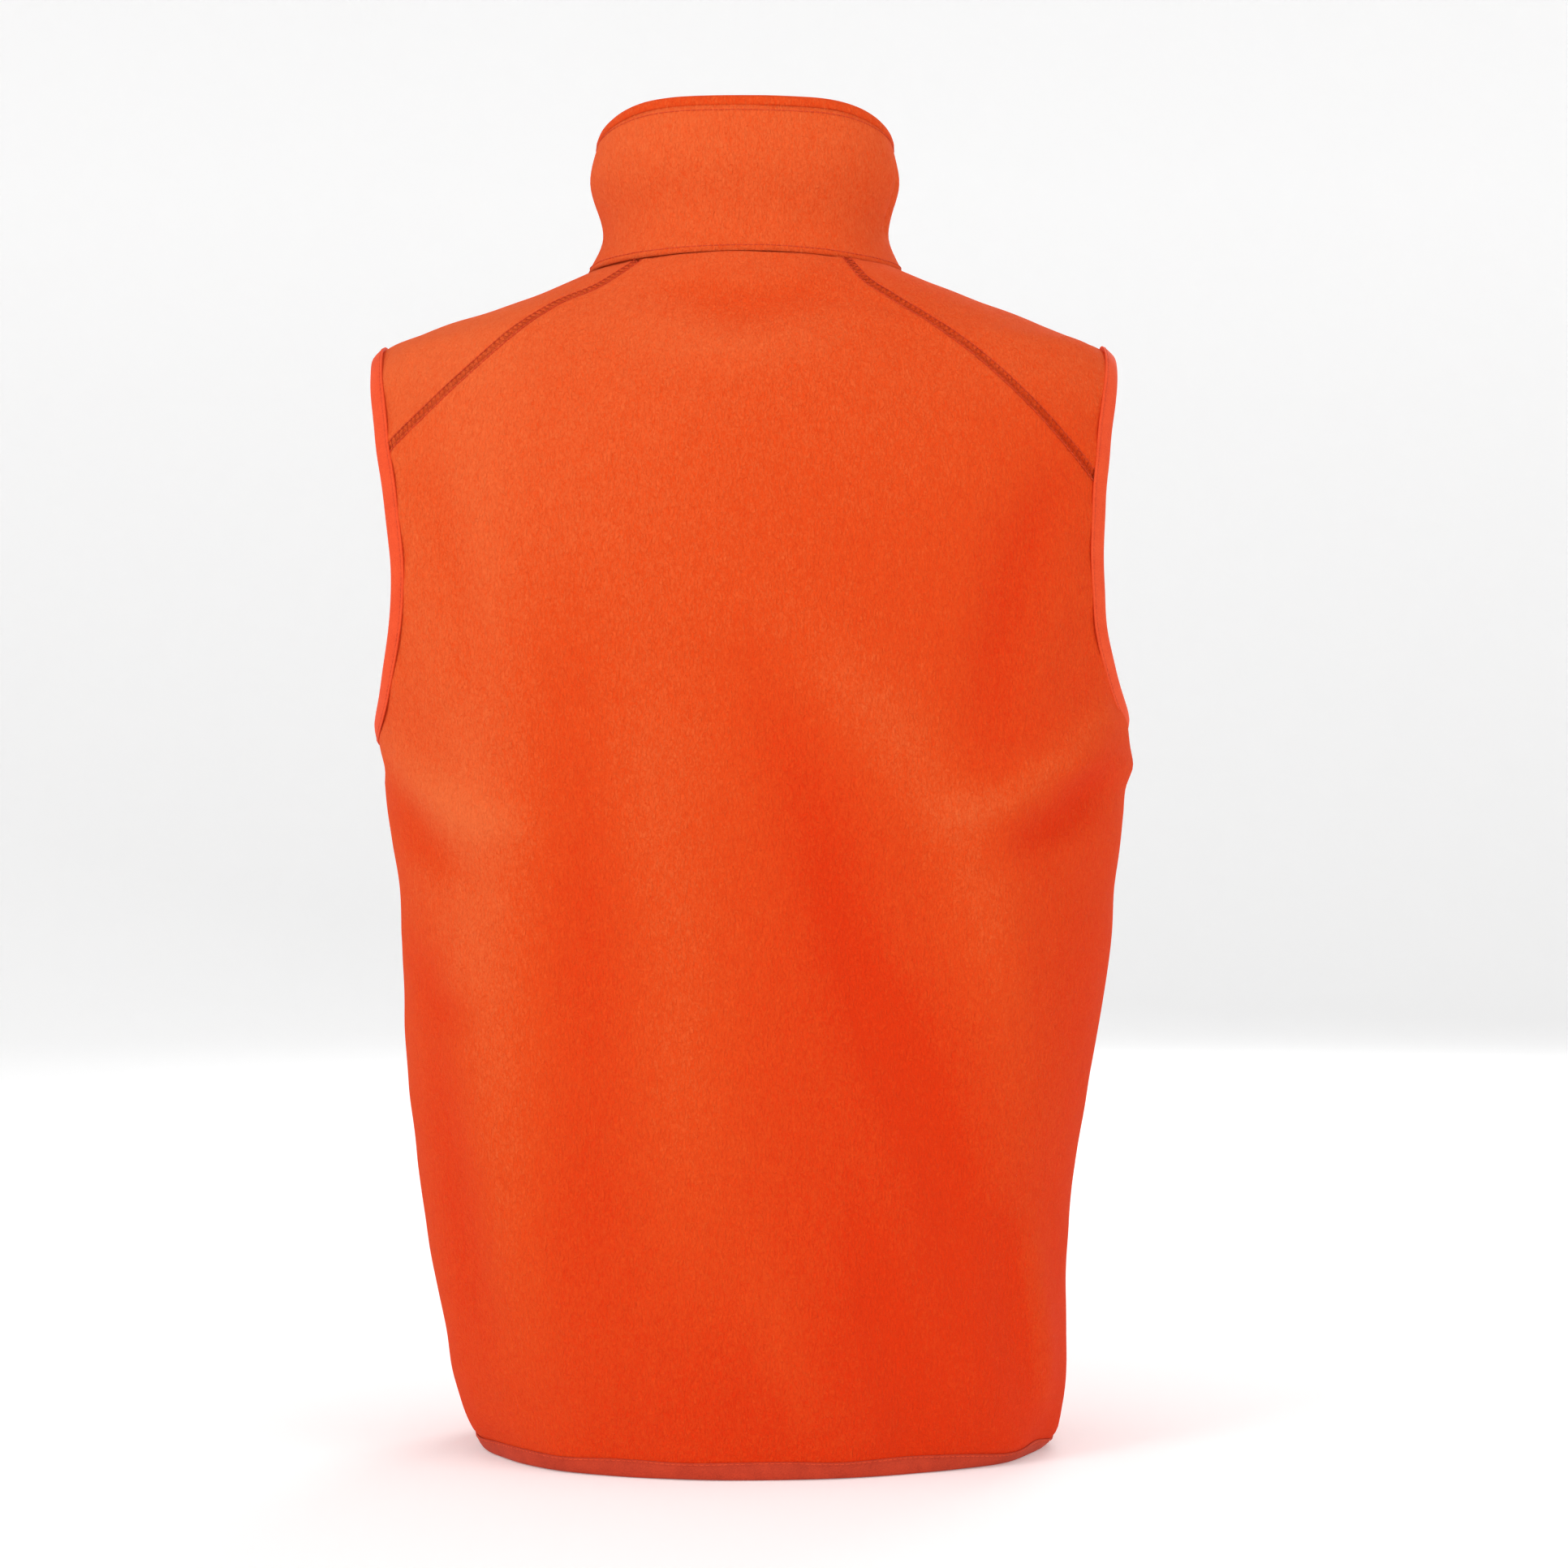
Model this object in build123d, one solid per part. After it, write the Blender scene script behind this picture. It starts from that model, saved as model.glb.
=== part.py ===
"""Sleeveless fleece vest with a stand collar, a full-length separating zip and two zipped hand pockets.

Frame: +Z up, the wearer faces -Y and the wearer's left is +X. The origin is on the ground under the middle of
the hem. Millimetres. The cloth stands as it does when worn, so every panel is a thin curved solid.
"""
from build123d import *
import math
import os
from types import SimpleNamespace

os.makedirs("parts", exist_ok=True)

# ---- driving dimensions --------------------------------------------------------------------------------------
CLOTH = 2.2                 # microfleece thickness
BINDING_PROUD = 0.9         # how far the knitted binding stands out of the cloth on each face
HEM_BINDING = 9.0           # height of the hem binding
SIDE_SEAM_Y = -12.0         # the side seams lie a little forward of the middle
ZIP_GAP = 6.5               # centre line of a zip to the cloth edge beside it
COLLAR_PLY = 2.1
COLLAR_PLY_GAP = 0.2
COLLAR_EDGE = 6.0           # height of the turned edge along the top of the collar
FAR = 400.0                 # reaches past the object in any direction

# The centre front is one straight line from hem to collar top, so that the slider can run its whole length.
FRONT_HEM_Y = -135.0
FRONT_TOP_Y = -67.0
FRONT_TOP_Z = 690.0


def front_y(z):
    """Y of the centre front line at height z."""
    return FRONT_HEM_Y + (FRONT_TOP_Y - FRONT_HEM_Y) * z / FRONT_TOP_Z


def level(z_front, z_side, z_back, left, right, y_back, power):
    """One closed girth line: heights at front, sides and back, half widths, depth to the back, and squareness."""
    return (z_front, z_side, z_back, left, right, y_back, power)


BODY_LEVELS = [
    level(-14, -14, -14, 147, 155, 129, 2.3),      # below the hem, trimmed away
    level(0, 0, 0, 152, 161, 131, 2.3),            # hem
    level(40, 40, 40, 165, 173, 135, 2.3),
    level(150, 150, 150, 182, 184.5, 131, 2.3),      # hip
    level(285, 285, 285, 194, 199, 127, 2.3),      # waist
    level(392, 400, 400, 208.5, 209.5, 131, 2.25), # underarm
    level(486, 500, 505, 224, 224, 127, 2.2),      # armhole, where the sides are cut away
    level(545, 575, 590, 222, 222, 109, 2.2),
    level(568, 606, 624, 205, 205, 93, 2.2),       # shoulder tip
    level(580, 632, 643, 139, 140, 81, 2.2),
    level(590, 652, 657, 88, 89, 71, 2.2),         # neck seam
]
COLLAR_LEVELS = [
    level(591, 653, 658, 88, 89, 71.5, 2.2),       # neck seam
    level(606, 671, 676, 80, 78.5, 67, 2.15),      # pinched above the seam
    level(650, 706, 713, 86.5, 83, 71, 2.15),
    level(690, 730, 745, 80.5, 77.5, 65, 2.15),    # top edge
]

# Armhole edges seen from behind, as (half width, height) from the shoulder down to the underarm.
ARMHOLE_EDGE = [(209, 660), (208, 590), (199, 510), (199, 455), (211, 400), (240, 340)]
ARMHOLE_SEAM = [(198, 660), (198, 590), (193, 500), (196, 440), (209, 386), (240, 330)]
# Raglan seams seen from behind and from the front, from the neck out to past the armhole.
BACK_RAGLAN = [(50, 700), (57, 653), (78, 639), (102, 623), (142, 592), (188, 547), (230, 500)]
FRONT_RAGLAN = [(40, 680), (50, 612), (72, 590), (112, 566), (190, 490), (230, 450)]

ARMHOLE_MIDDLE_Z = 500.0
SEAM_GAP = 0.8              # between neighbouring pieces of cloth at a seam
BINDING_STEPS = 120         # facets round an armhole binding

# Hand pockets: the ends of the zip, as (half width, height), and the pocket bag inside the front.
POCKET_ZIP = [(130.0, 104.0), (132.0, 262.0)]
POCKET_BAG = SimpleNamespace(inner=34.0, outer=150.0, low=72.0, high=284.0, wall=0.7, depth=7.0, seam=5.0)


# ---- shaping functions ---------------------------------------------------------------------------------------
def interpolate(rows, knots, t):
    """A smooth curve through the rows, each a tuple of numbers, at the increasing knots."""
    last = len(rows) - 1
    i = max(0, min(last - 1, sum(1 for k in knots[1:-1] if k <= t)))

    def slope(j, c):
        if j == 0 or j == last:
            a, b = (0, 1) if j == 0 else (last - 1, last)
            return (rows[b][c] - rows[a][c]) / (knots[b] - knots[a])
        before, after = knots[j] - knots[j - 1], knots[j + 1] - knots[j]
        rise = (rows[j][c] - rows[j - 1][c]) / before
        return (rise * after + (rows[j + 1][c] - rows[j][c]) / after * before) / (before + after)

    span = knots[i + 1] - knots[i]
    s = (t - knots[i]) / span
    blend = (2 * s**3 - 3 * s**2 + 1, (s**3 - 2 * s**2 + s) * span, 3 * s**2 - 2 * s**3, (s**3 - s**2) * span)
    return [
        blend[0] * rows[i][c] + blend[1] * slope(i, c) + blend[2] * rows[i + 1][c] + blend[3] * slope(i + 1, c)
        for c in range(len(rows[0]))
    ]


class Girths:
    """A surface through closed girth lines. t runs up the side seam in mm; phi is 0 at the front, 90 at +X."""

    def __init__(self, levels):
        self.levels = levels
        self.knots = [0.0]
        for a, b in zip(levels, levels[1:]):
            self.knots.append(self.knots[-1] + math.hypot(b[1] - a[1], b[3] - a[3]))
        self.top = self.knots[-1]

    def point(self, phi, t):
        z_front, z_side, z_back, left, right, y_back, power = interpolate(self.levels, self.knots, t)
        s, c = math.sin(phi), math.cos(phi)
        wide = left if s > 0 else right
        deep = -front_y(z_front) if c > 0 else y_back
        r = (abs(s / wide) ** power + abs(c / deep) ** power) ** (-1 / power)
        end = z_front if c > 0 else z_back
        return Vector(r * s, -r * c, z_side + (end - z_side) * c * c)

    def offset_point(self, phi, t, offset):
        step = 1e-3
        here = self.point(phi, t)
        along = self.point(phi + step, t) - self.point(phi - step, t)
        up = self.point(phi, t + step * 50) - self.point(phi, t - step * 50)
        return here + along.cross(up).normalized() * offset

    def phi_at(self, t, x):
        """The angle near the front at which the surface is x to the side."""
        phi = 0.0
        for _ in range(6):
            here = self.point(phi, t)
            phi = math.asin(max(-1.0, min(1.0, x / math.hypot(here.X, here.Y))))
        return phi

    def grid(self, low, high, front_x, rows=44, columns=90, phis=None):
        """Rows of (phi, t) from front_x round the back to -front_x, or between two angles."""
        grid = []
        for i in range(rows + 1):
            t = low + (high - low) * i / rows
            a, b = phis or (self.phi_at(t, front_x), 2 * math.pi + self.phi_at(t, -front_x))
            grid.append([(a + (b - a) * k / columns, t) for k in range(columns + 1)])
        return grid

    def solid(self, grid, outer, inner):
        """A closed solid between two offsets of the surface, over rows of (phi, t)."""
        skins = []
        for offset in (outer, inner):
            points = [[self.offset_point(phi, t, offset) for phi, t in row] for row in grid]
            skins.append(Face.make_surface_from_array_of_points(points, tol=0.02))
        rims = []
        for edge in skins[0].edges():
            partner = min(skins[1].edges(), key=lambda e: (e.center() - edge.center()).length)
            rims.append(Face.make_surface_from_curves(edge, partner))
        return Solid(Shell([*skins, *rims]))

    def faceted(self, grid, outer, inner, ring=False):
        """A closed solid of flat facets between two offsets, over rows of (phi, t). In a ring the rows close up."""
        skins = [
            [[self.offset_point(phi, t, offset) for phi, t in row] for row in grid]
            for offset in (outer, inner)
        ]
        rows, columns = len(grid), len(grid[0])
        steps = [(i, (i + 1) % rows) for i in range(rows if ring else rows - 1)]
        quads = [
            (skin[i][k], skin[i][k + 1], skin[j][k + 1], skin[j][k])
            for skin in skins for i, j in steps for k in range(columns - 1)
        ]
        front, back = skins
        quads += [
            (front[i][k], front[j][k], back[j][k], back[i][k])
            for i, j in steps for k in (0, columns - 1)
        ]
        if not ring:
            quads += [
                (front[i][k], front[i][k + 1], back[i][k + 1], back[i][k])
                for i in (0, rows - 1) for k in range(columns - 1)
            ]
        triangles = [corners for a, b, c, d in quads for corners in ((a, b, c), (a, c, d))]
        return Solid(Shell([Face(Wire.make_polygon(corners)) for corners in triangles]))

    def shell(self, outer, inner, low, high, front_x, **how):
        return self.solid(self.grid(low, high, front_x, **how), outer, inner)

    def solve(self, phi, t, miss):
        """Newton's method: the phi and t at which both numbers that miss(point) gives are zero."""
        for _ in range(25):
            here = miss(self.point(phi, t))
            a = [(m - h) / 1e-4 for m, h in zip(miss(self.point(phi + 1e-4, t)), here)]
            b = [(m - h) / 1e-2 for m, h in zip(miss(self.point(phi, t + 1e-2)), here)]
            det = a[0] * b[1] - a[1] * b[0]
            phi -= (here[0] * b[1] - here[1] * b[0]) / det
            t -= (a[0] * here[1] - a[1] * here[0]) / det
        return phi, t


def mirrored(points):
    return [(-x, z) for x, z in points]


def prism(outline, y_from, y_to):
    """A solid that runs along Y, from an outline of edges drawn in X and Z."""
    face = Face(Wire(outline))
    return Solid.extrude(face.moved(Location((0, y_from, 0))), Vector(0, y_to - y_from, 0))


def flat(points):
    return [Vector(x, 0, z) for x, z in points]


def read_line(points, value, key=0):
    """A smooth curve through (a, b) points, read as b at a, or as a at b when key is 1."""
    table = sorted((p[key], p[1 - key]) for p in points)
    return interpolate([(other,) for _, other in table], [first for first, _ in table], value)[0]


def closed(curve_points, straight_points, steps=36):
    """The same curve as read_line's as an edge, closed by straight edges through straight_points."""
    start, end = curve_points[0][0], curve_points[-1][0]
    across = [start + (end - start) * i / steps for i in range(steps + 1)]
    curve_points = [(x, read_line(curve_points, x)) for x in across]
    curve = Edge.make_spline(flat(curve_points))
    corners = flat([curve_points[-1], *straight_points, curve_points[0]])
    return [curve, *(Edge.make_line(a, b) for a, b in zip(corners, corners[1:]))]


def slab(x_from, x_to, y_from, y_to, z_from, z_to):
    box = Box(x_to - x_from, y_to - y_from, z_to - z_from, align=(Align.MIN,) * 3)
    return box.moved(Location((x_from, y_from, z_from)))


def one_solid(shape):
    """The largest solid of a cut, without crumbs."""
    return max(shape.solids(), key=lambda s: s.volume)


def save(node, *solids):
    export_step(solids[0] if len(solids) == 1 else Compound(children=list(solids)), f"parts/{node}.step")


# ---- cloth panels and bindings -------------------------------------------------------------------------------
body = Girths(BODY_LEVELS)
collar = Girths(COLLAR_LEVELS)
above_ground = slab(-FAR, FAR, -FAR, FAR, 0, 2 * FAR)


def below_raglan(points, y_from, y_to, side):
    sign = 1 if side == "left" else -1
    line = points if sign > 0 else mirrored(points)
    return prism(closed(line, [(sign * FAR, 450), (sign * FAR, -60), (0, -60), (0, 700)]), y_from, y_to)


def armhole_point(side, line, theta, guess, gap):
    """The (phi, t) on an armhole line at the angle theta round the armhole, from the back over the top."""
    sign = 1 if side == "left" else -1

    def miss(p):
        return (
            sign * p.X - read_line(line, p.Z, key=1) - gap,
            p.Y * math.sin(theta) - (p.Z - ARMHOLE_MIDDLE_Z) * math.cos(theta),
        )

    return body.solve(*guess, miss)


def armhole_run(side, line, start, end, gap=0.0, steps=40):
    """(phi, t) along an armhole line between two angles."""
    guess = (math.radians(114 if side == "left" else 246), body.knots[6])
    run = []
    settle = 12
    for i in range(settle + 1):
        guess = armhole_point(side, line, start * i / settle, guess, gap)
    for i in range(steps + 1):
        guess = armhole_point(side, line, start + (end - start) * i / steps, guess, gap)
        run.append(guess)
    return run


def shoulder_grid(side, size=18):
    """(phi, t) rows over a shoulder, whose four sides are the neck, both raglan seams and the armhole."""
    sign = 1 if side == "left" else -1
    raglans = []
    for line, at_back in ((BACK_RAGLAN, True), (FRONT_RAGLAN, False)):
        neck_phi = math.radians(140 if at_back else 40) * sign
        for _ in range(60):
            p = body.point(neck_phi, body.top)
            # the raglan line is steep by the neck, so step sideways until its height there matches
            wanted = read_line(line, p.Z - SEAM_GAP, key=1)
            turn = (wanted - sign * p.X) / 90
            neck_phi += sign * (-turn if at_back else turn) * 0.5
        neck_x = sign * body.point(neck_phi, body.top).X
        end_x = 190.0
        for _ in range(40):
            end_x = read_line(ARMHOLE_SEAM, read_line(line, end_x) + SEAM_GAP, key=1)
        guess, run = (neck_phi, body.top), []
        for i in range(size + 1):
            x = neck_x + (end_x - neck_x) * i / size
            z = read_line(line, x) + SEAM_GAP
            guess = body.solve(*guess, lambda p: (sign * p.X - x, p.Z - z)) if i else guess
            run.append(guess)
        raglans.append(run)
    angles = []
    for run in raglans:
        p = body.point(*run[-1])
        angles.append(math.atan2(p.Z - ARMHOLE_MIDDLE_Z, p.Y) % (2 * math.pi))
    arm = armhole_run(side, ARMHOLE_SEAM, *angles, steps=size)
    back, front = raglans
    neck = [(back[0][0] + (front[0][0] - back[0][0]) * i / size, body.top) for i in range(size + 1)]
    grid = []
    for j in range(size + 1):
        v = j / size
        row = []
        for i in range(size + 1):
            u = i / size
            row.append(tuple(
                (1 - v) * neck[i][k] + v * arm[i][k] + (1 - u) * back[j][k] + u * front[j][k]
                - (1 - u) * (1 - v) * neck[0][k] - u * (1 - v) * neck[-1][k]
                - (1 - u) * v * arm[0][k] - u * v * arm[-1][k]
                for k in (0, 1)
            ))
        grid.append(row)
    return grid


def armhole_band(side, gap):
    """A closed band round an armhole, square to the cloth, from gap outside the seam to the binding's edge."""
    seam = armhole_run(side, ARMHOLE_SEAM, 0, 2 * math.pi, gap, BINDING_STEPS)[:-1]
    edge = armhole_run(side, ARMHOLE_EDGE, 0, 2 * math.pi, 0, BINDING_STEPS)[:-1]
    grid = [
        [tuple(a[k] + (b[k] - a[k]) * i / 2 for k in (0, 1)) for i in range(3)]
        for a, b in zip(seam, edge)
    ]
    return body.faceted(grid, BINDING_PROUD, -CLOTH - BINDING_PROUD, ring=True)


def cloth_panels():
    cloth = body.shell(0, -CLOTH, 0, body.top, ZIP_GAP) & slab(-FAR, FAR, -FAR, FAR, HEM_BINDING, 2 * FAR)
    for side in ("left", "right"):
        cloth = one_solid(cloth - armhole_band(side, 0))
    back_zone = below_raglan(BACK_RAGLAN, SIDE_SEAM_Y, FAR, "left").fuse(
        below_raglan(BACK_RAGLAN, SIDE_SEAM_Y, FAR, "right")
    )
    save("back_panel", one_solid(cloth & back_zone))
    for side in ("left", "right"):
        front_zone = below_raglan(FRONT_RAGLAN, -FAR, SIDE_SEAM_Y, side)
        front = one_solid(cloth & front_zone)
        slot = Box(2 * ZIP_GAP, 60, POCKET_LENGTH + 8).moved(pocket_frame(side).location)
        save(f"front_panel_{side}", one_solid(front - slot))
        save(f"shoulder_panel_{side}", body.faceted(shoulder_grid(side), 0, -CLOTH))


def bindings():
    thick = body.shell(BINDING_PROUD, -CLOTH - BINDING_PROUD, 0, body.top, ZIP_GAP)
    save("hem_binding", one_solid(thick & slab(-FAR, FAR, -FAR, FAR, 0, HEM_BINDING)))
    for side in ("left", "right"):
        save(f"armhole_binding_{side}", armhole_band(side, SEAM_GAP))


def collar_pieces():
    ply_top = collar.top - COLLAR_EDGE
    edge_start = ply_top + 0.3
    lining_face = -COLLAR_PLY - COLLAR_PLY_GAP
    inside = lining_face - COLLAR_PLY
    save("collar_outer", collar.shell(0, -COLLAR_PLY, 0, ply_top, ZIP_GAP, rows=24))
    save("collar_lining", collar.shell(lining_face, inside, 0, ply_top, ZIP_TAPE + 1, rows=24))
    save("collar_edge", collar.shell(0.5, inside - 0.5, edge_start, collar.top, ZIP_GAP, rows=6))
    back_half = (math.radians(98), math.radians(262))
    save("neck_tape", collar.shell(inside - 0.2, inside - 1.2, 1, 13, 0, rows=6, columns=40, phis=back_half))


def neck_trims():
    """The size label hangs from the neck tape, and the hanging loop in front of the label."""
    save("neck_label", slab(-20, 20, 65.2, 65.8, 633, 655.5))
    loop_y, loop_z, half, drop, strap = 61.9, 662.0, 22.0, 14.0, 3.5
    outer = slab(-half, half, loop_y - 0.5, loop_y + 0.5, loop_z - drop, loop_z)
    outer = outer.fillet(9, outer.edges().filter_by(Axis.Y).group_by(Axis.Z)[0])
    inner = slab(strap - half, half - strap, loop_y - 1, loop_y + 1, loop_z - drop + strap, loop_z - 2)
    inner = inner.fillet(5.5, inner.edges().filter_by(Axis.Y).group_by(Axis.Z)[0])
    save("hanger_loop", one_solid(outer - inner))


# ---- zips ----------------------------------------------------------------------------------------------------
# In a zip's own frame, Z runs up the chain, X across it and -Y out of the garment, from the cloth's face.
ZIP_TAPE = 12.0             # centre line to the tape's outer edge
TAPE_THICK = 0.6
CHAIN = SimpleNamespace(inner=0.55, outer=3.1, thick=2.1)
SLIDER = SimpleNamespace(length=12.0, wide=9.4, narrow=7.6, plate=1.1, web=0.8)
PLATE_GAP = 0.25            # slider plate to chain or tape
BAIL = SimpleNamespace(outer=2.6, inner=1.5, wide=2.0)
PULL = SimpleNamespace(length=26.0, wide=6.4, thick=1.0, pin_radius=0.6, pin_height=0.75, arm=0.9)
MAIN_CHAIN_FACE = 1.2       # cloth face to the face of the chain of the front zip
MAIN_TAPE_FACE = MAIN_CHAIN_FACE + CHAIN.thick
POCKET_CHAIN_FACE = 0.0     # the pocket chain is straight, and the cloth falls away from it at both ends
POCKET_TAPE_FACE = CLOTH + 0.3
POCKET_FALL = 1.0           # how far the cloth falls away at the ends


def line_frame(low, high, outward):
    """A plane at low, with Z towards high and -Y outward."""
    along = (high - low).normalized()
    across = outward.cross(along).normalized() * -1
    return Plane(origin=low, x_dir=across, z_dir=along)


def surface_at(x, z):
    """The point on the front of the body at width x and height z, with its angle and level."""
    t, phi = z, math.copysign(0.5, x)
    for _ in range(40):
        here = body.point(phi, t)
        t += z - here.Z
        phi += (x - here.X) / 150.0
    return here, phi, t


def pocket_frame(side):
    """The frame of a pocket zip, touching the body at the middle of the zip."""
    sign = 1 if side == "left" else -1
    low, high = (surface_at(sign * x, z)[0] for x, z in POCKET_ZIP)
    mid_x, mid_z = (sum(end[k] for end in POCKET_ZIP) / 2 for k in (0, 1))
    middle, phi, t = surface_at(sign * mid_x, mid_z)
    outward = body.offset_point(phi, t, 1) - middle
    frame = line_frame(low, high, outward)
    return Plane(origin=middle, x_dir=frame.x_dir, z_dir=frame.z_dir)


POCKET_LENGTH = POCKET_ZIP[1][1] - POCKET_ZIP[0][1]
MAIN_FRAME = line_frame(
    Vector(0, FRONT_HEM_Y, 0), Vector(0, FRONT_TOP_Y, FRONT_TOP_Z), Vector(0, -FRONT_TOP_Z, FRONT_TOP_Y - FRONT_HEM_Y)
)
MAIN_LENGTH = math.hypot(FRONT_TOP_Z, FRONT_TOP_Y - FRONT_HEM_Y)


def plate(thick):
    """A slider plate in the XZ plane, wide at its top end, from Y 0 to thick."""
    half, wide, narrow = SLIDER.length / 2, SLIDER.wide / 2, SLIDER.narrow / 2
    corners = [(-narrow, -half), (narrow, -half), (wide, half - 3), (wide - 2, half), (2 - wide, half), (-wide, half - 3)]
    solid = prism([Edge.make_line(a, b) for a, b in zip(flat(corners), flat(corners[1:] + corners[:1]))], 0, thick)
    return solid.fillet(0.8, solid.edges().filter_by(Axis.Y))


def slider_solid(chain_face, tape_back):
    """Two plates joined by a web between the two rows of teeth, with side flanges and a bail for the pull."""
    rear_face = tape_back + PLATE_GAP + 0.35
    front = plate(SLIDER.plate).moved(Location((0, chain_face - PLATE_GAP - SLIDER.plate, 0)))
    rear = plate(SLIDER.plate).moved(Location((0, rear_face, 0)))
    web = slab(-SLIDER.web / 2, SLIDER.web / 2, chain_face - PLATE_GAP, rear_face, 0.5, 4.0)
    solid = front.fuse(rear, web)
    flange_x = CHAIN.outer + 0.3
    for x in (flange_x, -flange_x - 0.5):
        flange = slab(x, x + 0.5, chain_face - PLATE_GAP - 0.1, chain_face + CHAIN.thick - 0.5, -4.5, 2.5)
        solid = solid.fuse(flange)
    outside = chain_face - PLATE_GAP - SLIDER.plate
    ring = Cylinder(BAIL.outer, BAIL.wide, rotation=(0, 90, 0)) - Cylinder(BAIL.inner, BAIL.wide, rotation=(0, 90, 0))
    bail = ring & slab(-FAR, FAR, -FAR, 0.2, -FAR, FAR)
    return one_solid(solid.fuse(bail.moved(Location((0, outside, 0))))), outside


def pull_solid(outside):
    """A pull tab that hangs from a round pin under the bail, lying along the chain."""
    axis_y = outside - PULL.pin_height
    arm_x = BAIL.wide / 2 + 0.3
    half = arm_x + PULL.arm
    pin = Cylinder(PULL.pin_radius, 2 * half, rotation=(0, 90, 0))
    tab_top = -BAIL.outer - 0.5
    arms = [slab(x, x + PULL.arm, -PULL.thick / 2, PULL.thick / 2, tab_top - 1, 0) for x in (arm_x, -half)]
    tab = slab(-PULL.wide / 2, PULL.wide / 2, -PULL.thick / 2, PULL.thick / 2, -PULL.length, tab_top)
    tab = tab.fillet(2.2, tab.edges().filter_by(Axis.Y).group_by(Axis.Z)[0])
    hole = slab(-1.6, 1.6, -PULL.thick, PULL.thick, -PULL.length + 3.0, -PULL.length + 9.0)
    hole = hole.fillet(1.5, hole.edges().filter_by(Axis.Y))
    return one_solid(pin.fuse(*arms, tab) - hole).moved(Location((0, axis_y, 0)))


def chain_strip(sign, low, high, chain_face):
    x = (CHAIN.inner, CHAIN.outer) if sign > 0 else (-CHAIN.outer, -CHAIN.inner)
    return slab(*x, chain_face, chain_face + CHAIN.thick - 0.02, low, high)


def main_zip():
    """The separating zip of the front: two tapes with their chains, stops, pin and box, and the slider closed."""
    place = MAIN_FRAME.location
    face, tape = MAIN_CHAIN_FACE, MAIN_TAPE_FACE
    back = tape - 0.02
    box_low, box_high, chain_top = 2.0, 14.0, MAIN_LENGTH - 16
    for side, sign in (("left", 1), ("right", -1)):
        strip_x = sorted((sign * CHAIN.inner, sign * ZIP_TAPE))
        strip = slab(*strip_x, tape, tape + TAPE_THICK, 1.5, MAIN_LENGTH - COLLAR_EDGE - 3)
        save(f"zip_tape_{side}", strip.moved(place))
        save(f"zip_chain_{side}", chain_strip(sign, box_high, chain_top, face).moved(place))
        stop_x = sorted((sign * (CHAIN.inner + 0.1), sign * (CHAIN.outer + 0.5)))
        stop = slab(*stop_x, face - 0.3, back, chain_top, chain_top + 4)
        save(f"zip_top_stop_{side}", stop.fillet(0.5, stop.edges().group_by(Axis.Y)[0]).moved(place))
    pin = slab(-CHAIN.outer, -CHAIN.inner - 0.1, face + 0.5, back, box_low + 2, box_high)
    save("zip_insertion_pin", pin.moved(place))
    box = slab(-4.0, 4.0, face - 0.5, back, box_low, box_high - 1)
    box = box.fillet(0.7, box.edges().filter_by(Axis.Y)) - slab(-3.4, -0.3, face + 0.2, tape, box_low + 1.7, box_high)
    save("zip_retainer_box", one_solid(box).moved(place))
    slider, outside = slider_solid(face, tape + TAPE_THICK)
    rest = chain_top - SLIDER.length / 2 - 0.5
    at_rest = place * Location((0, 0, rest))
    save("zip_slider", slider.moved(at_rest))
    save("zip_pull", pull_solid(outside).moved(at_rest))
    travel = rest - (box_high + SLIDER.length / 2 + 0.5)
    report("main zip", at_rest, outside, travel)


def report(name, at_rest, outside, travel):
    """Prints what the joints need: the slide's direction and travel, and the pull's pivot."""
    pivot = (at_rest * Location((0, outside - PULL.pin_height, 0))).position
    along = (at_rest * Location((0, 0, 1))).position - at_rest.position
    across = (at_rest * Location((1, 0, 0))).position - at_rest.position
    print(name, "along", along, "across", across, "pivot", pivot, "travel", round(travel, 2))


def pocket(side):
    """A closed pocket zip set in its slot, with the pocket bag behind it."""
    sign = 1 if side == "left" else -1
    place = pocket_frame(side).location
    half = POCKET_LENGTH / 2
    face = POCKET_CHAIN_FACE
    tape_front, tape_back = -POCKET_TAPE_FACE, -POCKET_TAPE_FACE - TAPE_THICK
    tape_shell = body.shell(tape_front, tape_back, 60, 320, ZIP_GAP)
    for name, toward in (("inner", -sign), ("outer", sign)):
        strip_x = sorted((toward * CHAIN.inner, toward * ZIP_TAPE))
        zone = slab(*strip_x, -30, 30, -half - 11, half + 11).moved(place)
        save(f"pocket_{side}_zip_tape_{name}", one_solid(tape_shell & zone))
        chain = chain_strip(toward, -half + 4, half - 4, face)
        save(f"pocket_{side}_zip_chain_{name}", chain.moved(place))
    for name, z in (("bottom", -half + 0.4), ("top", half - 3.9)):
        stop = slab(-3.6, 3.6, face - 0.3, face + CHAIN.thick - 0.02, z, z + 3.5)
        save(f"pocket_{side}_zip_stop_{name}", stop.fillet(0.5, stop.edges().group_by(Axis.Y)[0]).moved(place))
    slider, outside = slider_solid(face, POCKET_TAPE_FACE + TAPE_THICK + POCKET_FALL)
    rest = half - 4 - SLIDER.length / 2 - 0.5
    at_rest = place * Location((0, 0, rest))
    save(f"pocket_{side}_slider", slider.moved(at_rest))
    save(f"pocket_{side}_pull", pull_solid(outside).moved(at_rest))
    report(f"pocket {side}", at_rest, outside, 2 * rest)
    pocket_bag(side, slab(-ZIP_TAPE - 0.3, ZIP_TAPE + 0.3, -30, 7, -half - 11.3, half + 11.3).moved(place))


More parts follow.
